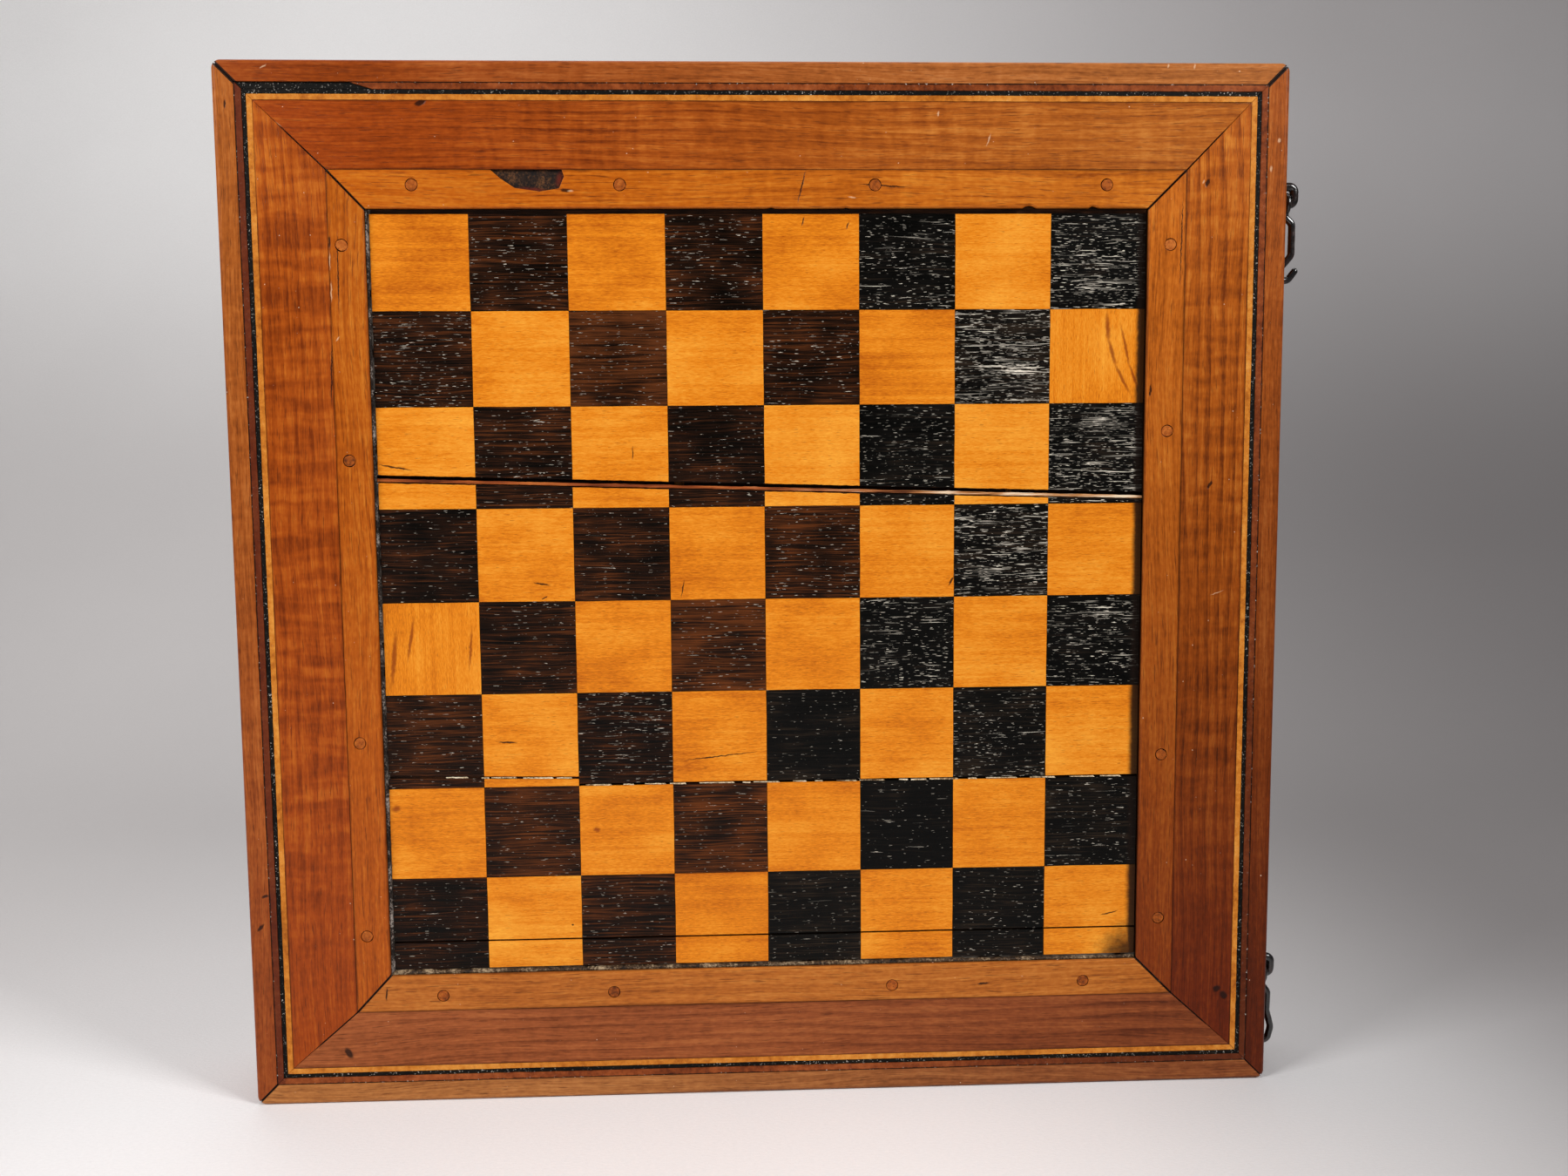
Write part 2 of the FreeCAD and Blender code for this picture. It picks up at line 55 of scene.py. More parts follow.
MM = 0.001
SIDES = ("top", "bottom", "left", "right")
TRAYS = ("chess", "back")
GRAIN = {"top": "x", "bottom": "x", "left": "z", "right": "z"}

# A rectangle of the face is its left, right, bottom and top edge. For each side of a frame: its own edge,
# and the edges where its length starts and ends
COURSE = {"top": (3, 0, 1), "bottom": (2, 1, 0), "left": (0, 2, 3), "right": (1, 3, 2)}

# Easing of the edges, as a size and as depth and inset shares of the steps round it
FRAME_EASE = 0.15 * MM
STRIP_INNER_EASE = 0.9 * MM
STRING_EASE = 0.1 * MM
VENEER_EASE = 0.07 * MM
PEG_EASE = 0.12 * MM
SLIP_EASE = 0.12 * MM
CRUMB_EASE = 0.06 * MM
SHARP_EASE = 0.02 * MM
EASE_STEPS = ((1.0, 0.0), (0.293, 0.293), (0.0, 1.0))

# How far hand work strays from a straight line, over what distance, and the spacing of points
BAND_WANDER = 0.05 * MM
STRING_WANDER = 0.09 * MM
BLACK_WANDER = 0.2 * MM
SQUARE_WANDER = 0.11 * MM
PEG_WANDER = 0.22 * MM
CRUMB_WANDER = 0.12 * MM
FRAME_PITCH = 9.0 * MM
STRING_PITCH = 4.0 * MM
SQUARE_PITCH = 14.0 * MM
PEG_PITCH = 2.6 * MM
CRUMB_PITCH = 1.2 * MM
FRAME_STEP = 3.0 * MM
STRING_STEP = 1.4 * MM
SQUARE_STEP = 0.9 * MM
CRUMB_STEP = 0.7 * MM
BEAD_STEP = 0.8 * MM

# The noise is the same in every run
NOISE_SEED = 1
noise.seed_set(NOISE_SEED)

# Mitres of the frame: the width of the open joint at the outer and the inner corner
BAND_MITRE = (0.05 * MM, 0.22 * MM)
STRIP_MITRE = (0.24 * MM, 0.2 * MM)
STRING_MITRE = (0.06 * MM, 0.06 * MM)

# Fillet and strings: the seam between them, how far each lies below the face,
# and the lost end of the top fillet
STRING_SEAM = 0.12 * MM
FILLET_SINK = 0.1 * MM
BLACK_SINK = 0.35 * MM
LIGHT_SINK = 0.05 * MM
RESIDUE_SINK = 0.7 * MM
LOST_FILLET_END = 61.0 * MM
LOST_FILLET_TAPER = 9.0 * MM
LOST_FILLET_GAP = 0.4 * MM

# Glue in the mitres of the walls: its width, and how far it lies below the surface and the corners
GLUE_WIDTH = 0.56 * MM
GLUE_SINK = 0.7 * MM
GLUE_SETBACK = 2.3 * MM
GLUE_INNER_SETBACK = 0.2 * MM

# Rims of the trays: how far their proud middle stays from the edges, from the other tray, and its root
RIM_SETBACK = 3.2 * MM
RIM_GAP = 0.03 * MM
RIM_ROOT = 0.3 * MM

# The piece lost from the top strip, in millimetres from the face's left and top edges, and its depth;
# chips of the strip's inner edge: place from the left, half length and depth
LOST_PATCH = ((132.8, 40.2), (133.6, 44.0), (131.6, 48.6), (124.0, 49.8), (114.5, 48.4), (109.0, 44.8),
              (105.2, 40.4))
LOST_PATCH_DEPTH = 1.1 * MM
STRIP_CHIPS = ((214.1, 1.4, 0.5), (316.4, 2.6, 1.1), (341.9, 1.5, 0.9), (244.0, 1.2, 0.4))

# Pegs
PEG_RADIUS = 2.22 * MM
PEG_HOLE_RADIUS = 2.5 * MM
PEG_SIDES = 26
PEG_SINK = 0.16 * MM

# Chess squares, and the plank joints that split them: rows from the top at the left and right, and width
SQUARES = 8
SQUARE_JOINT = 0.12 * MM
SQUARE_SINK = 0.035 * MM
SQUARE_TILT = 0.0016
LEAST_SLIVER = 0.3 * MM
PLANK_JOINTS = ((2.71, 2.96, 2.9 * MM), (6.0, 6.0, 0.9 * MM), (7.70, 7.70, 0.6 * MM))
PLANK_DROP = [sum(joint[2] for joint in PLANK_JOINTS[:plank]) for plank in range(len(PLANK_JOINTS) + 1)]
CRACK_JAG = (0.22 * MM, 0.16 * MM, 0.05 * MM)
CRACK_PITCH = 1.1 * MM
BITE_PITCH = 6.0 * MM
VENEER_SETBACK = 0.16 * MM
SPLINTER_ROWS = (5.88, 5.92)
SPLINTER_COLUMNS = 2

# Camera
CAMERA_PLACE = (-0.01726, -0.60613, 0.26926)
CAMERA_RIGHT = (0.99898, -0.04452, -0.00753)
CAMERA_UP = (0.01194, 0.09948, 0.99497)
CAMERA_VIEW = (0.04354, 0.99404, -0.09991)
CAMERA_LENS = 33.22


# Rectangles of the face, taken from the frame
def framed(kind):
    """Outer and inner rectangles of the four lengths that make one frame."""
    boxes = {side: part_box("chess_%s_%s" % (kind, side)) for side in SIDES}
    outer = (boxes["left"][0].x, boxes["right"][1].x, boxes["bottom"][0].z, boxes["top"][1].z)
    inner = (boxes["left"][1].x, boxes["right"][0].x, boxes["bottom"][1].z, boxes["top"][0].z)
    return outer, inner


def ring(*nodes):
    """Outer rectangle of what runs all the way round."""
    lows, highs = zip(*[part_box(node) for node in nodes])
    return (min(low.x for low in lows), max(high.x for high in highs),
            min(low.z for low in lows), max(high.z for high in highs))


def shrunk(rectangle, by):
    left, right, bottom, top = rectangle
    return (left + by, right - by, bottom + by, top - by)


CASE, INSIDE = framed("wall")
BAND_OUT, BAND_IN = framed("band")
STRIP_OUT, FIELD = framed("strip")
FILLET_OUT = ring("chess_fillet")
BLACK_OUT = ring("chess_black_string")
LIGHT_OUT = ring("chess_light_string")
FACE_LEFT, FACE_TOP = CASE[0], CASE[3]
BOARD = shrunk(ring("light_squares", "dark_squares"), -SQUARE_JOINT / 2)
BOARD_LEFT, BOARD_RIGHT, BOARD_BOTTOM, BOARD_TOP = BOARD
SQUARE_WIDTH = (BOARD_RIGHT - BOARD_LEFT) / SQUARES
SQUARE_HEIGHT = (BOARD_TOP - BOARD_BOTTOM - PLANK_DROP[-1]) / SQUARES

# Levels of the face frame and of the veneer
FACE_DEPTH = -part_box("chess_band_top")[0].y
FRAME_BACK_DEPTH = -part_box("chess_band_top")[1].y
VENEER_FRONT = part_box("light_squares")[0].y
VENEER_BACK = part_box("light_squares")[1].y


def on_face(from_left, down):
    """A point of the face, given in millimetres from its left and top edges."""
    return Vector((FACE_LEFT + from_left * MM, FACE_TOP - down * MM))


def on_board(column, row):
    """A point of the chess field, in squares from its top left corner."""
    drop = sum(joint[2] for joint in PLANK_JOINTS if row > (joint[0] + joint[1]) / 2)
    return Vector((BOARD_LEFT + column * SQUARE_WIDTH, BOARD_TOP - row * SQUARE_HEIGHT - drop))


# Node materials
def colour(red, green, blue):
    """Linear colour of an sRGB colour written from 0 to 255."""
    def linear(value):
        share = value / 255.0
        return share / 12.92 if share <= 0.04045 else ((share + 0.055) / 1.055) ** 2.4
    return (linear(red), linear(green), linear(blue), 1.0)


class Paint:
    """Builds one material; each method adds nodes and returns their output socket."""

    def __init__(self, name, specular=0.12, coat=0.0, metallic=0.0):
        self.material = bpy.data.materials.new(name)
        self.material.use_nodes = True
        self.tree = self.material.node_tree
        self.shader = self.tree.nodes["Principled BSDF"]
        for socket, value in (("Specular IOR Level", specular), ("Metallic", metallic),
                              ("Coat Weight", coat), ("Coat Roughness", 0.22)):
            self.shader.inputs[socket].default_value = value
        self.place = self.add("ShaderNodeTexCoord").outputs["Object"]
        self.x, self.y, self.z = self.add("ShaderNodeSeparateXYZ", self.place).outputs

    def add(self, kind, *values, **settings):
        """A new node with these settings, and with values for its first inputs."""
        node = self.tree.nodes.new(kind)
        for name, value in settings.items():
            setattr(node, name, value)
        for socket, value in zip(node.inputs, values):
            self.feed(socket, value)
        return node

    def feed(self, socket, value):
        if isinstance(value, bpy.types.NodeSocket):
            self.tree.links.new(value, socket)
        else:
            socket.default_value = value

    def math(self, operation, *values, clamp=False):
        return self.add("ShaderNodeMath", *values, operation=operation, use_clamp=clamp).outputs[0]

    def times(self, first, second):
        return self.math("MULTIPLY", first, second)

    def minus(self, first, second):
        return self.math("SUBTRACT", first, second)

    def plus(self, base, value, weight):
        """A base plus a value times its weight."""
        return self.math("MULTIPLY_ADD", value, weight, base)

    def total(self, base, *shares):
        """A base value plus each noise's swing about its middle, times its weight."""
        value = base
        for source, weight in shares:
            value = self.plus(value, self.minus(source, 0.5), weight)
        return value

    def vector(self, operation, *values):
        node = self.add("ShaderNodeVectorMath", *values, operation=operation)
        return node.outputs["Value" if operation == "DISTANCE" else "Vector"]

    def combined(self, *values):
        return self.add("ShaderNodeCombineXYZ", *values).outputs[0]

    def along(self, grain, seed=0.0):
        """Wood coordinates: along the grain, across it, and into the wood."""
        turned = {"x": (self.x, self.z, self.y), "z": (self.z, self.x, self.y)}[grain]
        return self.vector("ADD", self.combined(*turned), (seed, seed * 1.7, seed * 0.6))

    def noise(self, place, stretch, detail=2.0, roughness=0.5):
        """Noise from 0 to 1; stretch is how fine it is along each axis, or along all three."""
        scales = stretch if isinstance(stretch, tuple) else (stretch, stretch, stretch)
        node = self.add("ShaderNodeTexNoise", self.vector("MULTIPLY", place, scales))
        for socket, value in (("Scale", 1.0), ("Detail", detail), ("Roughness", roughness)):
            node.inputs[socket].default_value = value
        return node.outputs["Fac"]

    def span(self, value, low, high, start=0.0, end=1.0):
        """Eases from start to end as the value goes from low to high."""
        node = self.add("ShaderNodeMapRange", value, low, high, start, end, interpolation_type="SMOOTHSTEP")
        return node.outputs["Result"]

    def blend(self, factor, first, second):
        node = self.add("ShaderNodeMix", factor, data_type="RGBA")
        self.feed(node.inputs[6], first)
        self.feed(node.inputs[7], second)
        return node.outputs[2]

    def over(self, base, mask, shade, weight=None):
        """A base colour with another shade laid over it where the mask is."""
        factor = mask if weight is None else self.times(mask, weight)
        return self.blend(factor, base, colour(*shade))

    def ramp(self, value, places, shades):
        """A colour that passes through each shade at its place."""
        node = self.add("ShaderNodeValToRGB", value)
        elements = node.color_ramp.elements
        while len(elements) < len(places):
            elements.new(0.5)
        for element, position, shade in zip(elements, places, shades):
            element.position = position
            element.color = colour(*shade)
        return node.outputs[0]

    def grained(self, place, fine, coarse, weights, places, shades):
        """Colour made by a fine and a coarse noise, each as stretch, detail and roughness; then the two."""
        first = self.noise(place, *fine)
        second = self.noise(place, *coarse)
        value = self.total(0.5, (first, weights[0]), (second, weights[1]))
        return self.ramp(value, places, shades), first, second

    def attribute(self, name, output="Fac"):
        return self.add("ShaderNodeAttribute", attribute_name=name).outputs[output]

    def bent(self, place, stretch, detail, reach):
        """Wood coordinates pushed across the grain by slow noise."""
        drift = self.noise(place, stretch, detail)
        return self.vector("ADD", place, self.combined(0.0, self.times(drift, reach), 0.0))

    def strayed(self, place, reach, pitch):
        """Coordinates pushed about by noise, so that a mark gets a ragged edge."""
        node = self.add("ShaderNodeTexNoise", place)
        node.inputs["Scale"].default_value = 1.0 / pitch
        centred = self.vector("SUBTRACT", node.outputs["Color"], (0.5, 0.5, 0.5))
        return self.vector("ADD", place, self.vector("MULTIPLY", centred, (reach, reach, reach)))

    def marks(self, items, where, soft=0.5):
        """Mask of long spots: the place of each, its angle, and its half length and width in millimetres."""
        mask = 0.0
        place = self.strayed(self.place, 0.9 * MM, 1.6 * MM)
        for first, second, angle, half_length, half_width in items:
            spot = where(first, second)
            node = self.add("ShaderNodeMapping", place, vector_type="TEXTURE")
            node.inputs["Location"].default_value = (spot.x, 0.0, spot.y)
            node.inputs["Rotation"].default_value = (0.0, -math.radians(angle), 0.0)
            node.inputs["Scale"].default_value = (half_length * MM, 1.0, half_width * MM)
            falloff = self.add("ShaderNodeTexGradient", node.outputs[0], gradient_type="SPHERICAL")
            mask = self.math("MAXIMUM", mask, self.span(falloff.outputs["Fac"], 0.0, soft))
        return mask

    def off_line(self, start, end):
        """Distance on the face from the straight line through two points."""
        normal = Vector((start.y - end.y, end.x - start.x)).normalized()
        across = self.plus(-normal.dot(start), self.x, normal.x)
        return self.math("ABSOLUTE", self.plus(across, self.z, normal.y))

    def off_point(self, x, z):
        """Distance on the face from a point."""
        return self.vector("DISTANCE", self.combined(self.x, 0.0, self.z), (x, 0.0, z))

    def between(self, value, low, high):
        """Distance from the nearer of two limits."""
        return self.math("MINIMUM", self.minus(value, low), self.minus(high, value))

    def inside(self, rectangle):
        """Distance inwards from the nearest edge of a rectangle of the face."""
        sideways = self.between(self.x, *rectangle[:2])
        return self.math("MINIMUM", sideways, self.between(self.z, *rectangle[2:]))

    def growth(self, place, spacing, swing):
        """Growth lines across the wood: each darkens slowly and ends sharply, 0 to 1."""
        across = self.add("ShaderNodeSeparateXYZ", place).outputs[1]
        sweep = self.noise(place, (3.2, 22.0, 16.0), 2.0, 0.55)
        saw = self.math("FRACT", self.plus(self.times(sweep, swing), across, 1.0 / spacing))
        return self.times(self.span(saw, 0.35, 0.93), self.span(saw, 0.93, 1.0, 1.0, 0.0))

    def done(self, base, roughness, height, relief=0.1 * MM, strength=0.6):
        """Links the base colour, the roughness and the bump, and returns the material."""
        self.feed(self.shader.inputs["Base Color"], base)
        self.feed(self.shader.inputs["Roughness"], roughness)
        bump = self.add("ShaderNodeBump")
        for socket, value in (("Strength", strength), ("Distance", relief), ("Height", height)):
            self.feed(bump.inputs[socket], value)
        self.feed(self.shader.inputs["Normal"], bump.outputs["Normal"])
        return self.material


def edge_grime_and_shade(paint, base, across, edges, blotch):
    """Grime along the two long edges of a length, and painted shade as well as dirt on its sides below the
    face.
    """
    ragged_edge = paint.plus(paint.between(across, *edges), blotch, 1.6 * MM)
    base = paint.over(base, paint.span(ragged_edge, 0.6 * MM, 1.6 * MM, 1.0, 0.0), (40, 15, 5), 0.5)
    # Sides below the face go near black: painted shade in the recesses and joints, as well as dirt
    below_face = paint.minus(FACE_DEPTH, paint.math("ABSOLUTE", paint.y))
    return paint.over(base, paint.span(below_face, 0.5 * MM, 1.1 * MM), (14, 8, 5), 0.92)


def mitre_grime(paint, base, mitres, fibre):
    """Dirt in the mitres: their lines, the half width of the dirt and the share of the line that is dark."""
    for (outer, inner), half_width, share in mitres:
        off = paint.plus(paint.off_line(outer, inner), fibre, -0.3 * MM)
        dark = paint.span(off, half_width - 0.2 * MM, half_width, 1.0, 0.0)
        whole = (outer - inner).length
        kept = paint.span(paint.off_point(inner.x, inner.y), whole * share, whole * (share + 0.2), 0.95, 0.1)
        base = paint.over(base, dark, (12, 7, 4), kept)
    return base


def seam_grime_and_shade(paint, base, fibre):
    """The outer edge of a rim, where the trays meet, darkened by dirt and by painted shade in the seam."""
    depth = paint.plus(paint.math("ABSOLUTE", paint.y), fibre, 0.5 * MM)
    outside = paint.span(paint.inside(CASE), 0.9 * MM, 1.5 * MM, 0.9, 0.0)
    return paint.over(base, paint.span(depth, 0.55 * MM, 1.0 * MM, 1.0, 0.0), (22, 10, 5), outside)


def frame_wood(name, grain, reach, tones, ripple=0.0, rings=0.12, edges=None, mitres=(), dents=(), scars_and_glints=(),
               seam=False, seed=0.0):
    """Old polished wood: growth lines, fibres, pores, cross ripple, grime with painted shade, small marks and
    painted glints.

    tones are the dark, middle and pale colours at the start and at the end of the length, reach is where it
    starts and ends, and edges are its two long edges, if they hold grime and painted shade. A seam is a rim's
    outer edge, which gets dirt and painted shade.
    """
    paint = Paint(name, coat=0.03)
    place = paint.along(grain, seed)
    bent = paint.bent(place, (7.0, 24.0, 24.0), 1.0, 14.0 * MM)
    lines = paint.noise(bent, (3.0, 420.0, 200.0), 4.0, 0.6)
    fibre = paint.noise(bent, (50.0, 1500.0, 900.0), 3.0, 0.65)
    mottle = paint.noise(bent, (380.0, 900.0, 600.0))
    blotch = paint.noise(place, (13.0, 34.0, 30.0))
    value = paint.total(0.5, (lines, 0.5), (fibre, 0.6), (blotch, 0.38), (mottle, 0.36))

    length, across = (paint.x, paint.z) if grain == "x" else (paint.z, paint.x)
    quarter = 0.25 * (reach[1] - reach[0])
    patch = paint.span(paint.noise(place, (9.0, 20.0, 20.0), 1.0), 0.34, 0.62, 0.4, 1.0)
    onset = paint.span(length, reach[0] + 0.3 * quarter, reach[0] + 1.6 * quarter, 0.25, 1.0)
    gather = paint.times(patch, onset)
    crossing = paint.strayed(place, 5.0 * MM, 17.0 * MM)
    fine_wave = paint.noise(crossing, (215.0, 38.0, 20.0))
    slow_wave = paint.noise(crossing, (95.0, 30.0, 20.0), 1.0)
    wave = paint.span(paint.total(0.5, (fine_wave, 0.85), (slow_wave, 0.3)), 0.3, 0.7)
    value = paint.plus(value, paint.times(paint.growth(place, 4.5 * MM, 7.0), gather), -rings)
    value = paint.plus(value, paint.times(paint.minus(wave, 0.5), gather), ripple)
    start, end = [paint.ramp(value, (0.15, 0.5, 0.82), shades) for shades in tones]
    base = paint.blend(paint.span(length, *reach), start, end)

    pore = paint.span(paint.noise(bent, (120.0, 2300.0, 900.0), 1.0), 0.62, 0.7)
    base = paint.over(base, pore, (64, 24, 6), 0.5)
    height = paint.plus(paint.total(0.5, (fibre, 0.5), (lines, 0.4)), pore, -0.6)
    if edges:
        base = edge_grime_and_shade(paint, base, across, edges, blotch)
    base = mitre_grime(paint, base, mitres, fibre)
    if seam:
        base = seam_grime_and_shade(paint, base, fibre)
    # Pale specks: dust, and painted glints as well
    speck = paint.span(paint.noise(place, (800.0, 1100.0, 900.0), 0.0), 0.87, 0.9)
    base = paint.over(base, speck, (240, 214, 184), 0.55)
    if dents:
        dent = paint.marks(dents, on_face)
        base = paint.over(base, dent, (26, 11, 6), 0.88)
        height = paint.plus(height, dent, -2.5)
    # Pale scars: wear, and on worn edges painted glints as well
    if scars_and_glints:
        base = paint.over(base, paint.marks(scars_and_glints, on_face, 0.7), (230, 190, 150), 0.55)
    return paint.done(base, paint.total(0.36, (blotch, 0.25), (fibre, 0.14)), height)


def field_dirt_and_shadow(paint, base):
    """Darkens a veneer along the field's edges, most of all in the lower right corner; along the right edge
    it is painted shadow of the strip as well as dirt.
    """
    left, right, bottom, top = FIELD
    rough = paint.noise(paint.place, 260.0, 3.0, 0.6)
    right_reach = paint.plus(4.4 * MM, paint.span(paint.z, bottom, top, 1.0, 0.0), 0.6 * MM)
    mask = 0.0
    for distance, stray, start, end, weight in (
            # Right edge: painted shadow of the right strip as well as dirt, widening downwards
            (paint.minus(right, paint.x), 1.6 * MM, 2.3 * MM, right_reach, 0.95),
            (paint.minus(paint.x, left), 2.6 * MM, 0.6 * MM, 1.7 * MM, 0.75),
            (paint.minus(paint.z, bottom), 2.0 * MM, 0.7 * MM, 1.6 * MM, 0.7),
            (paint.off_point(right, bottom), 11.0 * MM, 5.0 * MM, 20.0 * MM, 0.9)):
        near = paint.span(paint.total(distance, (rough, stray)), start, end, weight, 0.0)
        mask = paint.math("MAXIMUM", mask, near)
    return paint.over(base, mask, (20, 11, 6))


def dark_veneer(name, scuffs_and_glints):
    """Dark open-pored veneer, brown to black, with pale dashes in its pores and where it is scuffed: dust and
    wax, and painted glints as well.
    """
    paint = Paint(name, specular=0.1)
    tone, black, dust = [paint.attribute(word) for word in ("tone", "black", "dust")]
    place = paint.vector("ADD", paint.along("x"), paint.attribute("shift", "Vector"))
    bent = paint.bent(place, (26.0, 110.0, 60.0), 2.0, 3.0 * MM)
    streak = paint.noise(bent, (34.0, 1500.0, 800.0), 4.0, 0.7)
    cloud = paint.noise(place, (55.0, 80.0, 60.0))
    value = paint.plus(paint.total(0.5, (streak, 1.5), (cloud, 0.55)), tone, 0.08)
    brown = paint.ramp(value, (0.28, 0.52, 0.82), ((6, 3, 1), (36, 17, 6), (100, 50, 17)))
    inky = paint.ramp(value, (0.3, 0.56, 0.84), ((2, 2, 1), (9, 7, 5), (44, 33, 23)))
    base = paint.blend(black, brown, inky)

    # The pale dashes stand for dust and wax in the pores, and are painted glints as well
    dust = paint.plus(dust, paint.marks(scuffs_and_glints, on_board, 1.0), 0.4)
    short = paint.noise(bent, (330.0, 3700.0, 1200.0), 1.0)
    longer = paint.noise(bent, (62.0, 2900.0, 1000.0))
    limit = paint.plus(0.742, dust, -0.13)
    long_limit = paint.plus(0.79, dust, -0.24)
    dash = paint.span(short, limit, paint.math("ADD", limit, 0.03))
    streaks = paint.span(longer, long_limit, paint.math("ADD", long_limit, 0.03))
    gathered = paint.span(paint.noise(place, (26.0, 150.0, 60.0), 3.0), 0.41, 0.57, 0.15, 1.0)
    dash = paint.times(dash, paint.plus(0.5, gathered, 0.5))
    pale = paint.math("MAXIMUM", dash, paint.times(streaks, gathered))
    bright = paint.math("MULTIPLY_ADD", dust, 0.35, 0.7, clamp=True)
    base = field_dirt_and_shadow(paint, paint.over(base, pale, (236, 226, 208), bright))
    height = paint.plus(paint.total(0.5, (streak, 0.8), (short, 0.6)), pale, -0.4)
    return paint.done(base, paint.total(0.36, (cloud, 0.3), (streak, 0.2)), height, 0.12 * MM)


def light_veneer(name, stains, burns):
    """Pale close-grained veneer, mellowed to honey, with fine flecks and a few old stains and burns."""
    paint = Paint(name)
    turned = paint.add("ShaderNodeMix", paint.attribute("turn"), data_type="VECTOR")
    paint.feed(turned.inputs[4], paint.along("x"))
    paint.feed(turned.inputs[5], paint.along("z"))
    place = paint.vector("ADD", turned.outputs[1], paint.attribute("shift", "Vector"))
    fleck = paint.noise(place, (420.0, 2200.0, 900.0), 2.0, 0.7)
    lines = paint.noise(place, (11.0, 560.0, 300.0), 3.0, 0.6)
    cloud = paint.noise(place, (34.0, 50.0, 40.0), 3.0)
    value = paint.total(0.5, (fleck, 0.62), (lines, 0.42), (cloud, 0.62))
    value = paint.plus(value, paint.attribute("tone"), 0.075)
    base = paint.ramp(value, (0.14, 0.5, 0.84), ((162, 70, 6), (222, 128, 22), (243, 166, 56)))
    pore = paint.span(paint.noise(place, (300.0, 2600.0, 900.0), 1.0), 0.65, 0.73)
    base = paint.over(base, pore, (118, 48, 8), 0.4)
    base = paint.over(base, paint.marks(stains, on_board, 0.75), (122, 40, 7), 0.75)
    burn = paint.marks(burns, on_board)
    base = field_dirt_and_shadow(paint, paint.over(base, burn, (36, 15, 7), 0.9))
    height = paint.plus(paint.total(0.5, (fleck, 0.7), (lines, 0.3)), burn, -2.0)
    return paint.done(base, paint.total(0.38, (cloud, 0.2), (fleck, 0.15)), height)


def string_grain(paint, shades):
    """Colour of a thin length of wood, the same along both directions of the frame, with its two noises."""
    return paint.grained(paint.place, (300.0, 4.0, 0.68), (35.0,), (0.9, 0.7), (0.25, 0.5, 0.75), shades)


def string_wood(name, shades, specks, rough=0.45):
    """A thin string of wood with pale specks, thickest in patches."""
    paint = Paint(name)
    base, streak, cloud = string_grain(paint, shades)
    speck = paint.span(paint.noise(paint.place, 1300.0, 2.0, 0.6), 0.62, 0.68)
    patch = paint.span(cloud, 0.4, 0.65, 0.2, 1.0)
    base = paint.over(base, paint.times(speck, patch), (214, 206, 194), specks)
    height = paint.total(0.5, (streak, 1.0), (speck, 0.5))
    return paint.done(base, paint.total(rough, (cloud, 0.3)), height, 0.2 * MM)


def fillet_wood(name):
    """Red-brown fillet, darkest at the left, with dirt and pale specks along its outer edge."""
    paint = Paint(name)
    left, right, bottom, top = FILLET_OUT
    base, streak, cloud = string_grain(paint, ((76, 30, 10), (128, 60, 24), (160, 84, 40)))
    base = paint.over(base, paint.span(paint.x, left + 2.0 * MM, left + 5.0 * MM, 0.7, 0.0), (78, 26, 12))
    low_right = paint.times(paint.span(paint.x, 0.0, right), paint.span(paint.z, bottom, top, 0.75, 0.0))
    base = paint.over(base, low_right, (66, 24, 9))
    edge = paint.total(paint.inside(FILLET_OUT), (streak, 0.7 * MM))
    base = paint.over(base, paint.span(edge, 0.25 * MM, 0.55 * MM, 0.92, 0.0), (14, 8, 5))
    speck = paint.span(paint.noise(paint.place, 1000.0), 0.65, 0.69)
    base = paint.over(base, speck, (220, 212, 200), paint.span(edge, 0.4 * MM, 0.8 * MM, 0.6, 0.04))
    return paint.done(base, paint.total(0.42, (cloud, 0.3)), streak, 0.2 * MM)


def peg_end(name):
    """End grain of the pegs: rings and pores, darkened by wax."""
    paint = Paint(name, specular=0.15)
    base, ringed, cloud = paint.grained(paint.place, (700.0, 3.0), (40.0, 1.0), (0.9, 0.9), (0.2, 0.5, 0.78),
                                        ((92, 42, 14), (160, 80, 24), (192, 108, 40)))
    pore = paint.span(paint.noise(paint.place, 1900.0, 0.0), 0.66, 0.74)
    base = paint.over(base, pore, (50, 22, 10), 0.6)
    return paint.done(base, paint.total(0.45, (cloud, 0.3)), ringed, 0.2 * MM)


def plank_wood(name):
    """Bare plank below the veneer: dark in the cracks, with grey dust in the left and lower margins."""
    paint = Paint(name, specular=0.2)
    base, fibre, cloud = paint.grained(
        paint.along("x", 3.0), ((45.0, 1500.0, 700.0), 3.0), ((120.0, 300.0, 200.0), 3.0), (0.9, 0.6),
        (0.25, 0.5, 0.75), ((20, 12, 8), (48, 28, 17), (92, 54, 30)))
    left = paint.span(paint.x, BOARD_LEFT, BOARD_LEFT + 0.6 * MM, 1.0, 0.0)
    below = paint.span(paint.z, BOARD_BOTTOM, BOARD_BOTTOM + 0.6 * MM, 1.0, 0.0)
    base = paint.over(base, paint.math("MAXIMUM", left, below), (178, 168, 156), paint.span(cloud, 0.35, 0.6))
    return paint.done(base, paint.total(0.8, (cloud, 0.2)), fibre, 0.2 * MM)


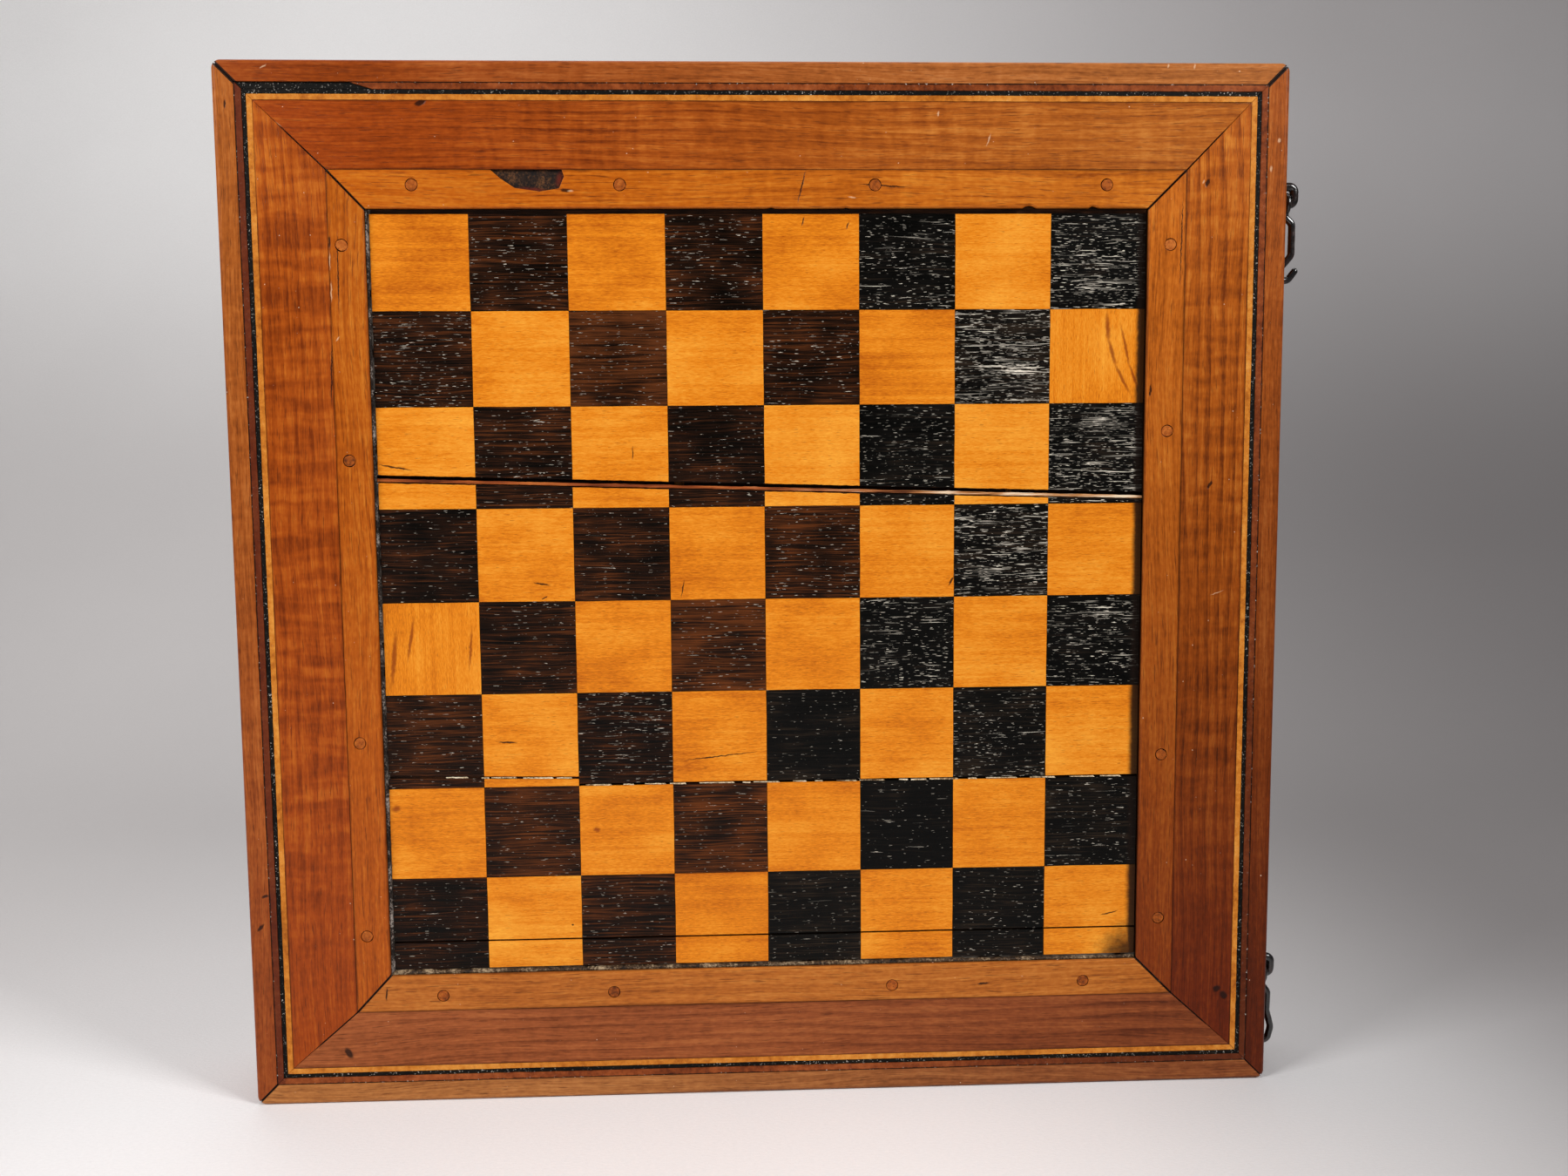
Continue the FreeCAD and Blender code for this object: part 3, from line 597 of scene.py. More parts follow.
def splinter_wood(name):
    """Raw red-brown wood bared along the widest crack, paler and frayed towards the right."""
    paint = Paint(name)
    red, fibre, cloud = paint.grained(
        paint.along("x", 5.0), ((60.0, 1900.0, 900.0), 3.0, 0.6), ((45.0, 120.0, 100.0),), (0.9, 0.8),
        (0.25, 0.5, 0.75), ((66, 26, 10), (150, 72, 30), (204, 116, 52)))
    frayed = paint.ramp(paint.total(0.5, (fibre, 1.2), (cloud, 1.0)), (0.22, 0.5, 0.72),
                        ((70, 36, 18), (190, 128, 74), (244, 222, 190)))
    right = paint.span(paint.total(paint.x, (cloud, 0.12)), -0.02, 0.1)
    return paint.done(paint.blend(right, red, frayed), paint.total(0.65, (cloud, 0.2)), fibre, 0.3 * MM)


def grime(name, shades, tints=(), rough=0.7):
    """Old wax, dust and dirt gathered in a corner, with red stain at a few spots."""
    paint = Paint(name, specular=0.2)
    base, crumb = paint.grained(paint.place, (1100.0, 3.0, 0.7), (110.0,), (1.3, 1.1), (0.25, 0.52, 0.82),
                                shades)[:2]
    if tints:
        base = paint.over(base, paint.marks(tints, on_face, 1.0), (116, 34, 10), 0.65)
    return paint.done(base, rough, crumb, 0.4 * MM, 1.0)


def forged_iron(name):
    """Hand-forged iron with a dark, worn, waxed skin and a little rust."""
    paint = Paint(name, specular=0.5, coat=0.8, metallic=0.1)
    base, scale, cloud = paint.grained(paint.place, (420.0, 4.0, 0.6), (130.0,), (0.9, 0.8),
                                       (0.25, 0.5, 0.78), ((3, 2, 2), (9, 6, 5), (46, 22, 15)))
    dimple = paint.noise(paint.place, 900.0)
    height = paint.total(0.5, (scale, 1.0), (dimple, 0.4))
    return paint.done(base, paint.total(0.18, (cloud, 0.14), (scale, 0.1)), height, 0.07 * MM)


# Pieces of wood built as flat panels with eased edges
def wandered(point, size, seed, pitch):
    """A point of an outline, moved a little by noise that depends only on its place and the seed."""
    shift = noise.noise_vector(Vector((point.x / pitch, seed, point.y / pitch)))
    return point + Vector((shift.x, shift.z)) * size


def cut(outline, ease, step, wander=0.0, seed=0.0, pitch=FRAME_PITCH):
    """Points along a closed outline as hand work cuts it, no more than a step apart, each with its easing.

    The easing is one size, or one for each edge of the outline.
    """
    eases = ease if isinstance(ease, list) else [ease] * len(outline)
    points = []
    for index, start in enumerate(outline):
        end = outline[(index + 1) % len(outline)]
        count = max(1, round((end - start).length / step))
        for share in range(count):
            own_ease = eases[index] if share else min(eases[index], eases[index - 1])
            points.append((wandered(start.lerp(end, share / count), wander, seed, pitch), own_ease))
    return points


def inset(points, share):
    """An outline moved inwards by a share of each point's easing."""
    moved = []
    count = len(points)
    for index, (point, ease) in enumerate(points):
        before = (point - points[index - 1][0]).normalized()
        after = (points[(index + 1) % count][0] - point).normalized()
        normal = Vector((-before.y - after.y, before.x + after.x))
        normal /= max(0.4, 1.0 + before.dot(after))
        moved.append(point + normal * ease * share)
    return moved


def bridged(mesh, first, second):
    """Smooth faces between two loops of as many points."""
    faces = []
    for index in range(len(first)):
        following = (index + 1) % len(first)
        face = mesh.faces.new((first[index], first[following], second[following], second[index]))
        face.smooth = True
        faces.append(face)
    return faces


def capped(mesh, loops):
    """Closes one loop with a single face, or a loop with holes with triangles."""
    if len(loops) == 1:
        return [mesh.faces.new(loops[0])]
    edges = [mesh.edges.get((vertex, loop[(index + 1) % len(loop)]))
             for loop in loops for index, vertex in enumerate(loop)]
    filled = bmesh.ops.triangle_fill(mesh, use_beauty=True, edges=edges)
    return [face for face in filled["geom"] if isinstance(face, bmesh.types.BMFace)]


def linked(name, data):
    """A new object of the scene that shows this data."""
    made = bpy.data.objects.new(name, data)
    bpy.context.scene.collection.objects.link(made)
    return made


def meshed(name, mesh, material):
    """A new object of the scene with a finished mesh."""
    data = bpy.data.meshes.new(name)
    mesh.to_mesh(data)
    mesh.free()
    data.materials.append(material)
    return linked(name, data)


def placed(name, mesh, material, body, slot, *replaced):
    """Puts a finished mesh into the scene as a piece that rides on a body and stands for its nodes."""
    bmesh.ops.recalc_face_normals(mesh, faces=mesh.faces[:])
    piece = meshed(name, mesh, material)
    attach(piece, body)
    if replaced:
        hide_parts(*replaced)


class Panels:
    """Collects panels into one mesh, with a few values for each panel that its material reads."""

    def __init__(self):
        self.mesh = bmesh.new()
        layers = self.mesh.faces.layers
        self.values = {name: layers.float.new(name) for name in ("tone", "black", "dust", "turn")}
        self.shift = layers.float_vector.new("shift")

    def add(self, outlines, front, back, tilt=(0.0, 0.0), shift=(0.0, 0.0, 0.0), **values):
        """One panel: its cut outline, then any holes, between a front and a back level."""
        into = math.copysign(1.0, back - front)
        middle = sum((point for point, ease in outlines[0]), Vector((0.0, 0.0))) / len(outlines[0])
        made = []
        front_loops = []
        back_loops = []
        for points in outlines:
            last = [self.mesh.verts.new((point.x, back, point.y)) for point, ease in points]
            back_loops.append(last)
            for depth, share in EASE_STEPS:
                current = []
                for spot, (point, ease) in zip(inset(points, share), points):
                    away = spot - middle
                    level = front + into * depth * ease + away.x * tilt[0] + away.y * tilt[1]
                    current.append(self.mesh.verts.new((spot.x, level, spot.y)))
                made += bridged(self.mesh, last, current)
                last = current
            front_loops.append(last)
        made += capped(self.mesh, front_loops)
        made += capped(self.mesh, back_loops)
        for face in made:
            face[self.shift] = Vector(shift)
            for name, value in values.items():
                face[self.values[name]] = value

    def piece(self, name, material, body, slot, *replaced):
        """Turns what was collected into one piece."""
        placed(name, self.mesh, material, body, slot, *replaced)


def mitred(side, outer, inner, gaps):
    """Outline of one mitred length: its inner edge first, each end pulled back from the mitre."""
    own, start, end = COURSE[side]
    out_gap, in_gap = gaps
    corners = []
    for rectangle, gap, edge in ((inner, in_gap, start), (inner, in_gap, end),
                                 (outer, out_gap, end), (outer, out_gap, start)):
        along = rectangle[edge] + (-gap if edge in (1, 3) else gap)
        corners.append(Vector((along, rectangle[own]) if GRAIN[side] == "x" else (rectangle[own], along)))
    return corners


def levels(tray, sink=0.0):
    """Front and back levels of the frame of one tray, with its front sunk a little below the face."""
    sign = -1.0 if tray == "chess" else 1.0
    return sign * (FACE_DEPTH - sink), sign * FRAME_BACK_DEPTH


def bands(tray, materials):
    """The four broad bands of one tray."""
    for seed, side in enumerate(SIDES):
        outline = mitred(side, BAND_OUT, BAND_IN, BAND_MITRE)
        panels = Panels()
        panels.add([cut(outline, FRAME_EASE, FRAME_STEP, BAND_WANDER, seed)], *levels(tray))
        node = "%s_band_%s" % (tray, side)
        panels.piece(node + "_board", materials[side], tray + "_tray", "band_wood", node)


def peg_centres(tray):
    """Middle of each peg of a tray, found by gathering the points that lie close together."""
    groups = []
    for vertex in frame["nodes"][tray + "_pegs"].data.vertices:
        spot = Vector((vertex.co.x, vertex.co.z))
        for group in groups:
            if (group[0] - spot).length < 3.0 * PEG_HOLE_RADIUS:
                group.append(spot)
                break
        else:
            groups.append([spot])
    centres = []
    for group in groups:
        across, up = zip(*group)
        centres.append(Vector(((min(across) + max(across)) / 2, (min(up) + max(up)) / 2)))
    return centres


def circle(centre, radius, turn=1.0):
    """A round outline; turned by -1, it runs backwards as a hole's edge."""
    angles = [turn * 2.0 * math.pi * index / PEG_SIDES for index in range(PEG_SIDES)]
    return [centre + Vector((math.cos(angle), math.sin(angle))) * radius for angle in angles]


def side_of(centre):
    """The side of the frame that a peg lies on."""
    if centre.y > FIELD[3]:
        return "top"
    if centre.y < FIELD[2]:
        return "bottom"
    return "left" if centre.x < FIELD[0] else "right"


def chipped(points):
    """The top strip's inner edge with small bites out of it."""
    bitten = []
    for point, ease in points:
        rise = 0.0
        if point.y < FIELD[3] + 0.1 * MM:
            for from_left, half, depth in STRIP_CHIPS:
                near = abs(point.x - FACE_LEFT - from_left * MM) / (half * MM)
                rise = max(rise, depth * MM * (1.0 - near * near))
        bitten.append((point + Vector((0.0, rise)), ease))
    return bitten


def strips(tray, materials, hollow):
    """The four strips round the field, with their peg holes; the chess tray's top one has lost a piece."""
    for seed, side in enumerate(SIDES, 7):
        outline = mitred(side, STRIP_OUT, FIELD, STRIP_MITRE)
        eases = [STRIP_INNER_EASE, FRAME_EASE, FRAME_EASE, FRAME_EASE]
        worn = tray == "chess" and side == "top"
        if worn:
            lost = [on_face(*corner) for corner in LOST_PATCH]
            lost[0].y = lost[-1].y = STRIP_OUT[3]
            outline[3:3] = lost
            eases[3:3] = [FRAME_EASE] * len(lost)
            points = chipped(cut(outline, eases, STRING_STEP, BAND_WANDER, seed))
        else:
            points = cut(outline, eases, FRAME_STEP, BAND_WANDER, seed)
        holes = [[(spot, PEG_EASE) for spot in circle(centre, PEG_HOLE_RADIUS, -1.0)]
                 for centre in peg_centres(tray) if side_of(centre) == side]
        panels = Panels()
        panels.add([points] + holes, *levels(tray))
        node = "%s_strip_%s" % (tray, side)
        panels.piece(node + "_board", materials[side], tray + "_tray", "strip_wood", node)
        if worn:
            floor = Panels()
            edge = cut(lost, STRING_EASE, STRING_STEP, BAND_WANDER, seed)
            floor.add([edge], *levels(tray, LOST_PATCH_DEPTH))
            floor.piece("chess_strip_top_loss", hollow, "chess_tray", "strip_wood")


def pegs(tray, material):
    """The pegs that hold the strips, each whittled a little out of round."""
    panels = Panels()
    for centre in peg_centres(tray):
        rim = [(wandered(spot, PEG_WANDER, 3.0, PEG_PITCH), PEG_EASE) for spot in circle(centre, PEG_RADIUS)]
        panels.add([rim], *levels(tray, PEG_SINK))
    panels.piece(tray + "_peg_ends", material, tray + "_tray", "peg_wood", tray + "_pegs")


def broken_fillet(inner):
    """Outlines of what is left of the chess tray's top fillet, and of the bed of its lost left end."""
    whole = mitred("top", FILLET_OUT, inner, STRING_MITRE)
    end = FACE_LEFT + LOST_FILLET_END
    kept = [Vector((end, whole[0].y)), whole[1], whole[2], Vector((end - LOST_FILLET_TAPER, whole[3].y))]
    gap = Vector((LOST_FILLET_GAP, 0.0))
    return kept, [whole[0], kept[0] - gap, kept[3] - gap, whole[3]]


def strings(tray, materials):
    """Red fillet, black string and light string; the chess tray's top fillet has lost its left end."""
    kept, bed = broken_fillet(shrunk(BLACK_OUT, -STRING_SEAM))
    for slot, word, outer, following, sink, wander in (
            ("red_fillet", "fillet", FILLET_OUT, BLACK_OUT, FILLET_SINK, STRING_WANDER),
            ("black_string", "black_string", BLACK_OUT, LIGHT_OUT, BLACK_SINK, BLACK_WANDER),
            ("light_string", "light_string", LIGHT_OUT, BAND_OUT, LIGHT_SINK, STRING_WANDER)):
        inner = shrunk(following, -STRING_SEAM)
        lengths = [(mitred(side, outer, inner, STRING_MITRE), sink, seed)
                   for seed, side in enumerate(SIDES, 11)]
        if tray == "chess" and word == "fillet":
            lengths[0] = (kept, sink, 11)
        if tray == "chess" and word == "black_string":
            lengths.append((bed, RESIDUE_SINK, 11))
        panels = Panels()
        for outline, own_sink, seed in lengths:
            panels.add([cut(outline, STRING_EASE, STRING_STEP, wander, seed, STRING_PITCH)],
                       *levels(tray, own_sink))
        node = "%s_%s" % (tray, word)
        panels.piece(node + "_lengths", materials[slot], tray + "_tray", slot, node)


# Chess squares, by row and column: the black ones, the dusty ones with painted glints, those with upright
# grain, and set tones
BLACK_SQUARES = {(0, 5), (0, 7), (1, 6), (2, 5), (2, 7), (3, 6), (4, 5), (4, 7), (5, 4), (5, 6), (6, 5),
                 (6, 7), (7, 4), (7, 6)}
DUSTY_AND_GLINTING_SQUARES = {(0, 7): 0.6, (1, 6): 0.7, (2, 7): 0.65, (3, 6): 0.6, (0, 5): 0.45, (2, 5): 0.4, (4, 5): 0.5,
                 (4, 7): 0.5, (5, 6): 0.35, (1, 0): 0.35, (6, 7): 0.25}
UPRIGHT_SQUARES = {(1, 7), (4, 0)}
SQUARE_TONES = {(1, 2): 2.0, (4, 3): 1.8, (3, 0): -1.2, (0, 1): -0.1, (2, 6): 1.6, (0, 0): -1.2, (5, 5): 0.6,
                (6, 0): -0.6}


def crack_height(joint, x):
    """Height of a crack across the board, before the planks below it drop."""
    left_row, right_row = PLANK_JOINTS[joint][:2]
    share = (x - BOARD_LEFT) / (BOARD_RIGHT - BOARD_LEFT)
    row = left_row + (right_row - left_row) * share
    if joint == 1 and share < SPLINTER_COLUMNS / SQUARES:
        along = share * SQUARES / SPLINTER_COLUMNS
        row = SPLINTER_ROWS[0] + (SPLINTER_ROWS[1] - SPLINTER_ROWS[0]) * along
    return BOARD_TOP - row * SQUARE_HEIGHT


def ragged(joint, x, edge):
    """How far a crack's edge strays: small teeth and now and then a larger bite."""
    tooth = noise.noise(Vector((x / CRACK_PITCH, joint * 5.0, edge)))
    bite = max(0.0, noise.noise(Vector((x / BITE_PITCH, joint * 9.0, edge + 2.0))) - 0.25)
    return CRACK_JAG[joint] * (abs(tooth) + 3.0 * bite)


def evenly(start, end):
    """Places from start to end, about one step of a square apart."""
    count = round((end - start) / SQUARE_STEP)
    return [start + (end - start) * index / count for index in range(count + 1)]


def square_outlines(row, column):
    """Outlines of one square's veneer, one for each plank that it lies on."""
    start = BOARD_LEFT + column * SQUARE_WIDTH + SQUARE_JOINT / 2
    top = BOARD_TOP - row * SQUARE_HEIGHT - SQUARE_JOINT / 2
    bottom = top - SQUARE_HEIGHT + SQUARE_JOINT
    across = evenly(start, start + SQUARE_WIDTH - SQUARE_JOINT)
    found = []
    upper = [top] * len(across)
    for plank, drop in enumerate(PLANK_DROP):
        lower = [bottom] * len(across)
        if plank < len(PLANK_JOINTS):
            lower = [max(bottom, min(limit, crack_height(plank, x))) for x, limit in zip(across, upper)]
        if max(high - low for high, low in zip(upper, lower)) > LEAST_SLIVER:
            under = []
            over = []
            for x, low, high in zip(across, lower, upper):
                if low > bottom:
                    low += ragged(plank, x, 0.0)
                if high < top:
                    high -= ragged(plank - 1, x, 1.0)
                    high -= VENEER_SETBACK
                under.append(Vector((x, low - drop)))
                over.append(Vector((x, high - drop)))
            found.append(under + over[::-1])
        upper = lower
    return found


def squares(light_material, dark_material):
    """All the veneer of the chess field, each square with its own tone, figure and slight tilt."""
    draw = random.Random(64)
    light = Panels()
    dark = Panels()
    for row in range(SQUARES):
        for column in range(SQUARES):
            spot = (row, column)
            values = {"tone": SQUARE_TONES.get(spot, draw.uniform(-1.0, 1.0))}
            shift = [draw.uniform(-4.0, 4.0) for axis in range(3)]
            values["turn"] = 1.0 if spot in UPRIGHT_SQUARES else 0.0
            values["black"] = 1.0 if spot in BLACK_SQUARES else draw.uniform(0.0, 0.25)
            values["dust"] = DUSTY_AND_GLINTING_SQUARES.get(spot, draw.uniform(0.08, 0.3))
            target = light if (row + column) % 2 == 0 else dark
            for outline in square_outlines(row, column):
                tilt = [draw.uniform(-1.0, 1.0) * SQUARE_TILT for axis in range(2)]
                edge = cut(outline, VENEER_EASE, SQUARE_STEP, SQUARE_WANDER, 5.0, SQUARE_PITCH)
                target.add([edge], VENEER_FRONT + SQUARE_SINK, VENEER_BACK, tilt=tilt, shift=shift, **values)
    light.piece("light_square_veneer", light_material, "chess_tray", "light_square_wood", "light_squares")
    dark.piece("dark_square_veneer", dark_material, "chess_tray", "dark_square_wood", "dark_squares")


def crack_slip(material):
    """The slip of raw wood bared along the first crack, and the step below it."""
    under = []
    over = []
    foot = []
    for x in evenly(*FIELD[:2]):
        edge = crack_height(0, x)
        tooth = noise.noise(Vector((x / (2.0 * MM), 3.0, 0.0)))
        wave = noise.noise(Vector((x / (9.0 * MM), 8.0, 0.0)))
        over.append(Vector((x, edge - (1.4 - 0.12 * tooth - 0.2 * wave) * MM)))
        under.append(Vector((x, edge - (2.55 + 0.14 * tooth) * MM)))
        foot.append(Vector((x, edge - PLANK_JOINTS[0][2])))
    slip = Panels()
    for lower, upper, front in ((under, over, -0.55 * MM), (foot, under, 0.9 * MM)):
        outline = cut(lower + upper[::-1], SLIP_EASE, SQUARE_STEP)
        slip.add([outline], VENEER_BACK + front, VENEER_BACK + 2.0 * MM)
    slip.piece("crack_slip", material, "chess_tray", "plank_wood")


def crack_filler(material):
    """Crumbs of pale filler in the second crack."""
    draw = random.Random(9)
    crumbs = Panels()
    x = BOARD_LEFT + 0.6 * SQUARE_WIDTH
    while x < BOARD_RIGHT - 6.0 * MM:
        length = draw.uniform(3.0, 16.0) * MM
        width = draw.uniform(0.45, 0.75) * MM
        top = crack_height(1, x + length / 2) - PLANK_DROP[1] - draw.uniform(0.3, 0.45) * MM
        corners = ((x, top - width * 0.6), (x + length, top - width), (x + length * 0.95, top), (x, top))
        outline = [Vector(corner) for corner in corners]
        edge = cut(outline, CRUMB_EASE, CRUMB_STEP, CRUMB_WANDER, x, CRUMB_PITCH)
        crumbs.add([edge], VENEER_BACK - 0.92 * MM, VENEER_BACK + 0.6 * MM)
        x += length + draw.uniform(0.5, 6.0) * MM
    crumbs.piece("crack_filler", material, "chess_tray", "plank_wood")


def dirt_bead(name, material, end, inward, widths, seed):
    """A ragged bead of dirt from the field's lower left corner, between the strip's edge and the squares."""
    start = Vector((FIELD[0], FIELD[2]))
    count = round((end - start).length / BEAD_STEP)
    mesh = bmesh.new()
    loops = []
    for index in range(count + 1):
        spot = start + (end - start) * (index / count)
        rough = noise.noise(Vector((spot.x / (2.2 * MM), seed, spot.y / (2.2 * MM))))
        slow = noise.noise(Vector((spot.x / (17.0 * MM), seed + 4.0, spot.y / (17.0 * MM))))
        even = widths[0] + (widths[1] - widths[0]) * index / count
        width = max(0.25, even + 0.3 * rough + 0.35 * slow) * MM
        tall = 0.75 * width
        section = []
        for out, level in ((0.0, VENEER_BACK), (0.0, VENEER_FRONT - tall),
                           (0.42 * width, VENEER_FRONT - 0.34 * tall), (width, VENEER_FRONT + 0.05 * MM),
                           (0.2 * MM, VENEER_BACK)):
            place = spot + inward * out
            section.append(mesh.verts.new((place.x, level, place.y)))
        loops.append(section)
    for first, second in zip(loops, loops[1:]):
        bridged(mesh, first, second)
    capped(mesh, loops[:1])
    capped(mesh, loops[-1:])
    placed(name, mesh, material, "chess_tray", "plank_wood")


def glue_lines(material):
    """Old glue in the mitres of the case walls, a little below the surface."""
    for tray in TRAYS:
        panels = Panels()
        front = levels(tray, GLUE_SINK)[0]
        back = math.copysign(GLUE_SINK, front)
        for across, along in ((0, 2), (0, 3), (1, 2), (1, 3)):
            outer = Vector((CASE[across], CASE[along]))
            inner = Vector((INSIDE[across], INSIDE[along]))
            way = (inner - outer).normalized()
            side = Vector((-way.y, way.x)) * GLUE_WIDTH / 2
            start = outer + way * GLUE_SETBACK
            end = inner - way * GLUE_INNER_SETBACK
            corners = [start - side, end - side, end + side, start + side]
            panels.add([cut(corners, SHARP_EASE, FRAME_STEP)], front, back)
        panels.piece(tray + "_mitre_glue", material, tray + "_tray", "walnut_wall")


def rims(tray, materials):
    """The proud middle of each rim, where the closed trays meet."""
    sign = math.copysign(1.0, levels(tray)[0])
    for side in SIDES:
        outline = mitred(side, shrunk(CASE, RIM_SETBACK), shrunk(INSIDE, -RIM_SETBACK), (RIM_GAP, RIM_GAP))
        panels = Panels()
        panels.add([cut(outline, SHARP_EASE, FRAME_STEP)], sign * RIM_GAP, sign * RIM_ROOT)
        panels.piece("%s_rim_%s" % (tray, side), materials[side], tray + "_tray", "walnut_wall")


# Colours of the frame: dark, middle and pale at the start and the end of each length
# The top lengths grow paler towards their right ends: partly the wood, partly painted sheen
BAND_TONES = {
    "top": (((98, 34, 4), (150, 61, 10), (184, 94, 24)), ((118, 53, 12), (172, 94, 28), (206, 132, 56))),
    "bottom": (((106, 50, 20), (156, 84, 43), (186, 112, 60)), ((86, 37, 14), (128, 64, 30), (162, 92, 46))),
    "left": (((104, 37, 3), (152, 63, 10), (182, 93, 23)), ((114, 44, 4), (162, 74, 13), (194, 106, 30))),
    "right": (((52, 14, 1), (94, 30, 4), (126, 52, 10)), ((114, 50, 8), (176, 89, 19), (206, 126, 44))),
}
STRIP_TONES = {
    "top": (((126, 50, 2), (180, 87, 9), (210, 124, 30)), ((132, 58, 7), (190, 104, 25), (218, 140, 48))),
    "bottom": (((116, 53, 12), (176, 99, 36), (206, 132, 58)),
               ((112, 52, 11), (172, 96, 32), (204, 130, 56))),
    "left": (((116, 43, 3), (170, 80, 14), (202, 116, 36)), ((118, 48, 4), (172, 85, 13), (204, 122, 36))),
    "right": (((70, 22, 2), (112, 42, 6), (148, 70, 16)), ((130, 59, 8), (192, 102, 26), (218, 138, 50))),
}
WALL_TONES = {
    "top": (((86, 30, 6), (138, 58, 10), (170, 88, 30)), ((110, 56, 20), (174, 103, 48), (208, 142, 84))),
    "bottom": (((112, 58, 23), (176, 112, 58), (206, 142, 82)),
               ((76, 34, 13), (128, 68, 34), (166, 102, 54))),
    "left": (((82, 28, 7), (140, 64, 22), (172, 92, 38)), ((96, 42, 11), (160, 85, 28), (192, 116, 52))),
    "right": (((46, 13, 2), (86, 29, 5), (116, 50, 13)), ((92, 39, 10), (158, 79, 24), (190, 114, 50))),
}
BACK_TONES = (((98, 44, 14), (156, 84, 32), (192, 120, 56)), ((102, 48, 16), (160, 90, 36), (196, 124, 60)))
LINING_TONES = (((40, 18, 8), (78, 38, 18), (112, 62, 30)), ((42, 18, 8), (82, 40, 18), (116, 64, 32)))
LIGHT_POINT_TONES = (((184, 112, 42), (214, 148, 66), (232, 176, 96)),
                     ((180, 108, 40), (212, 146, 64), (232, 176, 96)))
DARK_POINT_TONES = (((12, 9, 8), (30, 22, 17), (58, 40, 28)), ((12, 9, 8), (32, 23, 18), (60, 42, 30)))

# How strong the cross ripple and the growth lines of each length are
BAND_RIPPLES = {"top": 0.22, "bottom": 0.08, "left": 0.34, "right": 0.22}
STRIP_RIPPLES = {"top": 0.12, "bottom": 0.06, "left": 0.14, "right": 0.12}
BAND_RINGS = {"top": 0.24, "bottom": 0.28, "left": 0.16, "right": 0.24}
STRIP_RINGS = dict.fromkeys(SIDES, 0.08)

# Marks on the face: from its left and top edges, angle, half length and half width
DENTS = {
    "band_top": ((79.1, 16.4, 20, 3, 1.2),),
    "band_right": ((387.5, 46.4, 70, 2, 0.9), (398.6, 377.2, 25, 2.2, 1.8), (401.6, 380, -50, 2.4, 1.8),
                   (391, 166, 60, 2.2, 0.8)),
    "band_bottom": ((38, 395.6, -58, 3.2, 1.7),),
    "band_left": ((41.5, 120, 88, 14, 0.35),),
    "strip_top": ((226.2, 48, 76, 7.5, 0.35), (259, 47.6, -4, 12.5, 0.35), (134.2, 49.3, -6, 2.6, 0.9)),
    "strip_bottom": ((54.2, 371, 85, 3.4, 0.5), (300, 372.5, 5, 3, 0.6)),
    "strip_left": ((45.5, 80, 89, 18, 0.3), (42.6, 69, 88, 3, 0.5)),
    "strip_right": ((366, 128, 85, 3, 0.6), (377.5, 70, 89, 22, 0.3)),
    "wall_left": ((5, 17, 85, 2, 0.5), (4.6, 342, 50, 2.6, 0.9), (7, 329, 10, 1.8, 0.8)),
}
# Pale scars of wear, partly painted glints on worn edges
PALE_SCARS_AND_GLINTS = {
    "band_top": ((300, 30, 70, 3.2, 0.35), (388, 33, 55, 3, 0.3), (23, 23, -38, 5, 0.3),
                 (280, 20, 80, 1.2, 0.6)),
    "band_right": ((395, 210, 20, 3.5, 0.25), (386, 46, 70, 1.2, 0.5)),
    "strip_top": ((246, 52, -8, 2, 0.35), (136, 49.6, -6, 1.6, 0.5)),
    "strip_left": ((44.5, 106, 55, 1.6, 0.35), (42.5, 76, 89, 4.5, 0.3), (42.6, 88, 89, 5, 0.35)),
    "wall_top": ((20, 3, 30, 2, 0.4), (371, 1.4, 80, 1.2, 0.6), (381.5, 1.6, 75, 1.6, 0.5)),
    "wall_right": ((416, 30, 80, 1.4, 0.8), (413, 41, 85, 1.6, 0.8)),
}
LOST_PATCH_STAINS = ((131.8, 45, 75, 4.5, 2), (121, 49, -4, 9, 1.4))

# Marks on the squares: column and row, angle, half length and half width
LIGHT_STAINS = ((7.61, 1.2, -86, 8, 1.3), (7.66, 1.46, -74, 8, 1.1), (7.77, 1.74, -62, 9, 1),
                (7.8, 1.4, -77, 12, 0.8), (7.89, 1.72, -70, 8, 0.8), (0.07, 6.22, 10, 2.4, 1.9),
                (0.1, 4.6, 84, 16, 1.4), (0.28, 4.4, 80, 12, 0.9), (2.18, 6.49, 0, 2, 1.4),
                (0.9, 4.5, 85, 11, 0.8))
LIGHT_BURNS = ((1.66, 3.81, -9, 4.2, 0.5), (1.68, 3.96, 30, 1.6, 0.35), (3.13, 3.88, 80, 4.4, 0.3),
               (2.63, 2.5, 88, 3.5, 0.25), (5.97, 3.83, 60, 2.6, 0.6), (7.72, 7.55, 14, 4.6, 0.4),
               (1.26, 5.53, -4, 4.6, 0.55), (3.5, 5.72, 6, 18.5, 0.3), (0.18, 2.63, -10, 8, 0.45),
               (4.88, 0.12, 70, 2, 0.35), (4.42, 0.08, 75, 2.4, 0.35), (1.9, 7.55, 0, 0.7, 0.4))
# Scuffs on the dark squares: they raise the pale dashes, which are dust and painted glints
DARK_SCUFFS_AND_GLINTS = ((0.3, 1.15, 8, 13, 1.8), (1.52, 0.84, 8, 7, 1), (2.27, 1.1, 20, 5, 2),
               (1.69, 2.17, 15, 5, 1.6), (3.37, 2.5, 35, 4, 1), (3.85, 2.87, 5, 5, 1.3),
               (0.22, 3.13, 6, 8, 1.2), (2.42, 3.66, -60, 2.4, 0.7), (3.57, 4.13, -15, 2.4, 0.6),
               (6.32, 3.72, 5, 13, 4), (6.5, 1.6, 0, 17, 5), (7.5, 2.22, 0, 15, 3.6),
               (7.5, 0.72, 0, 15, 6), (7.5, 4.2, 3, 15, 3))


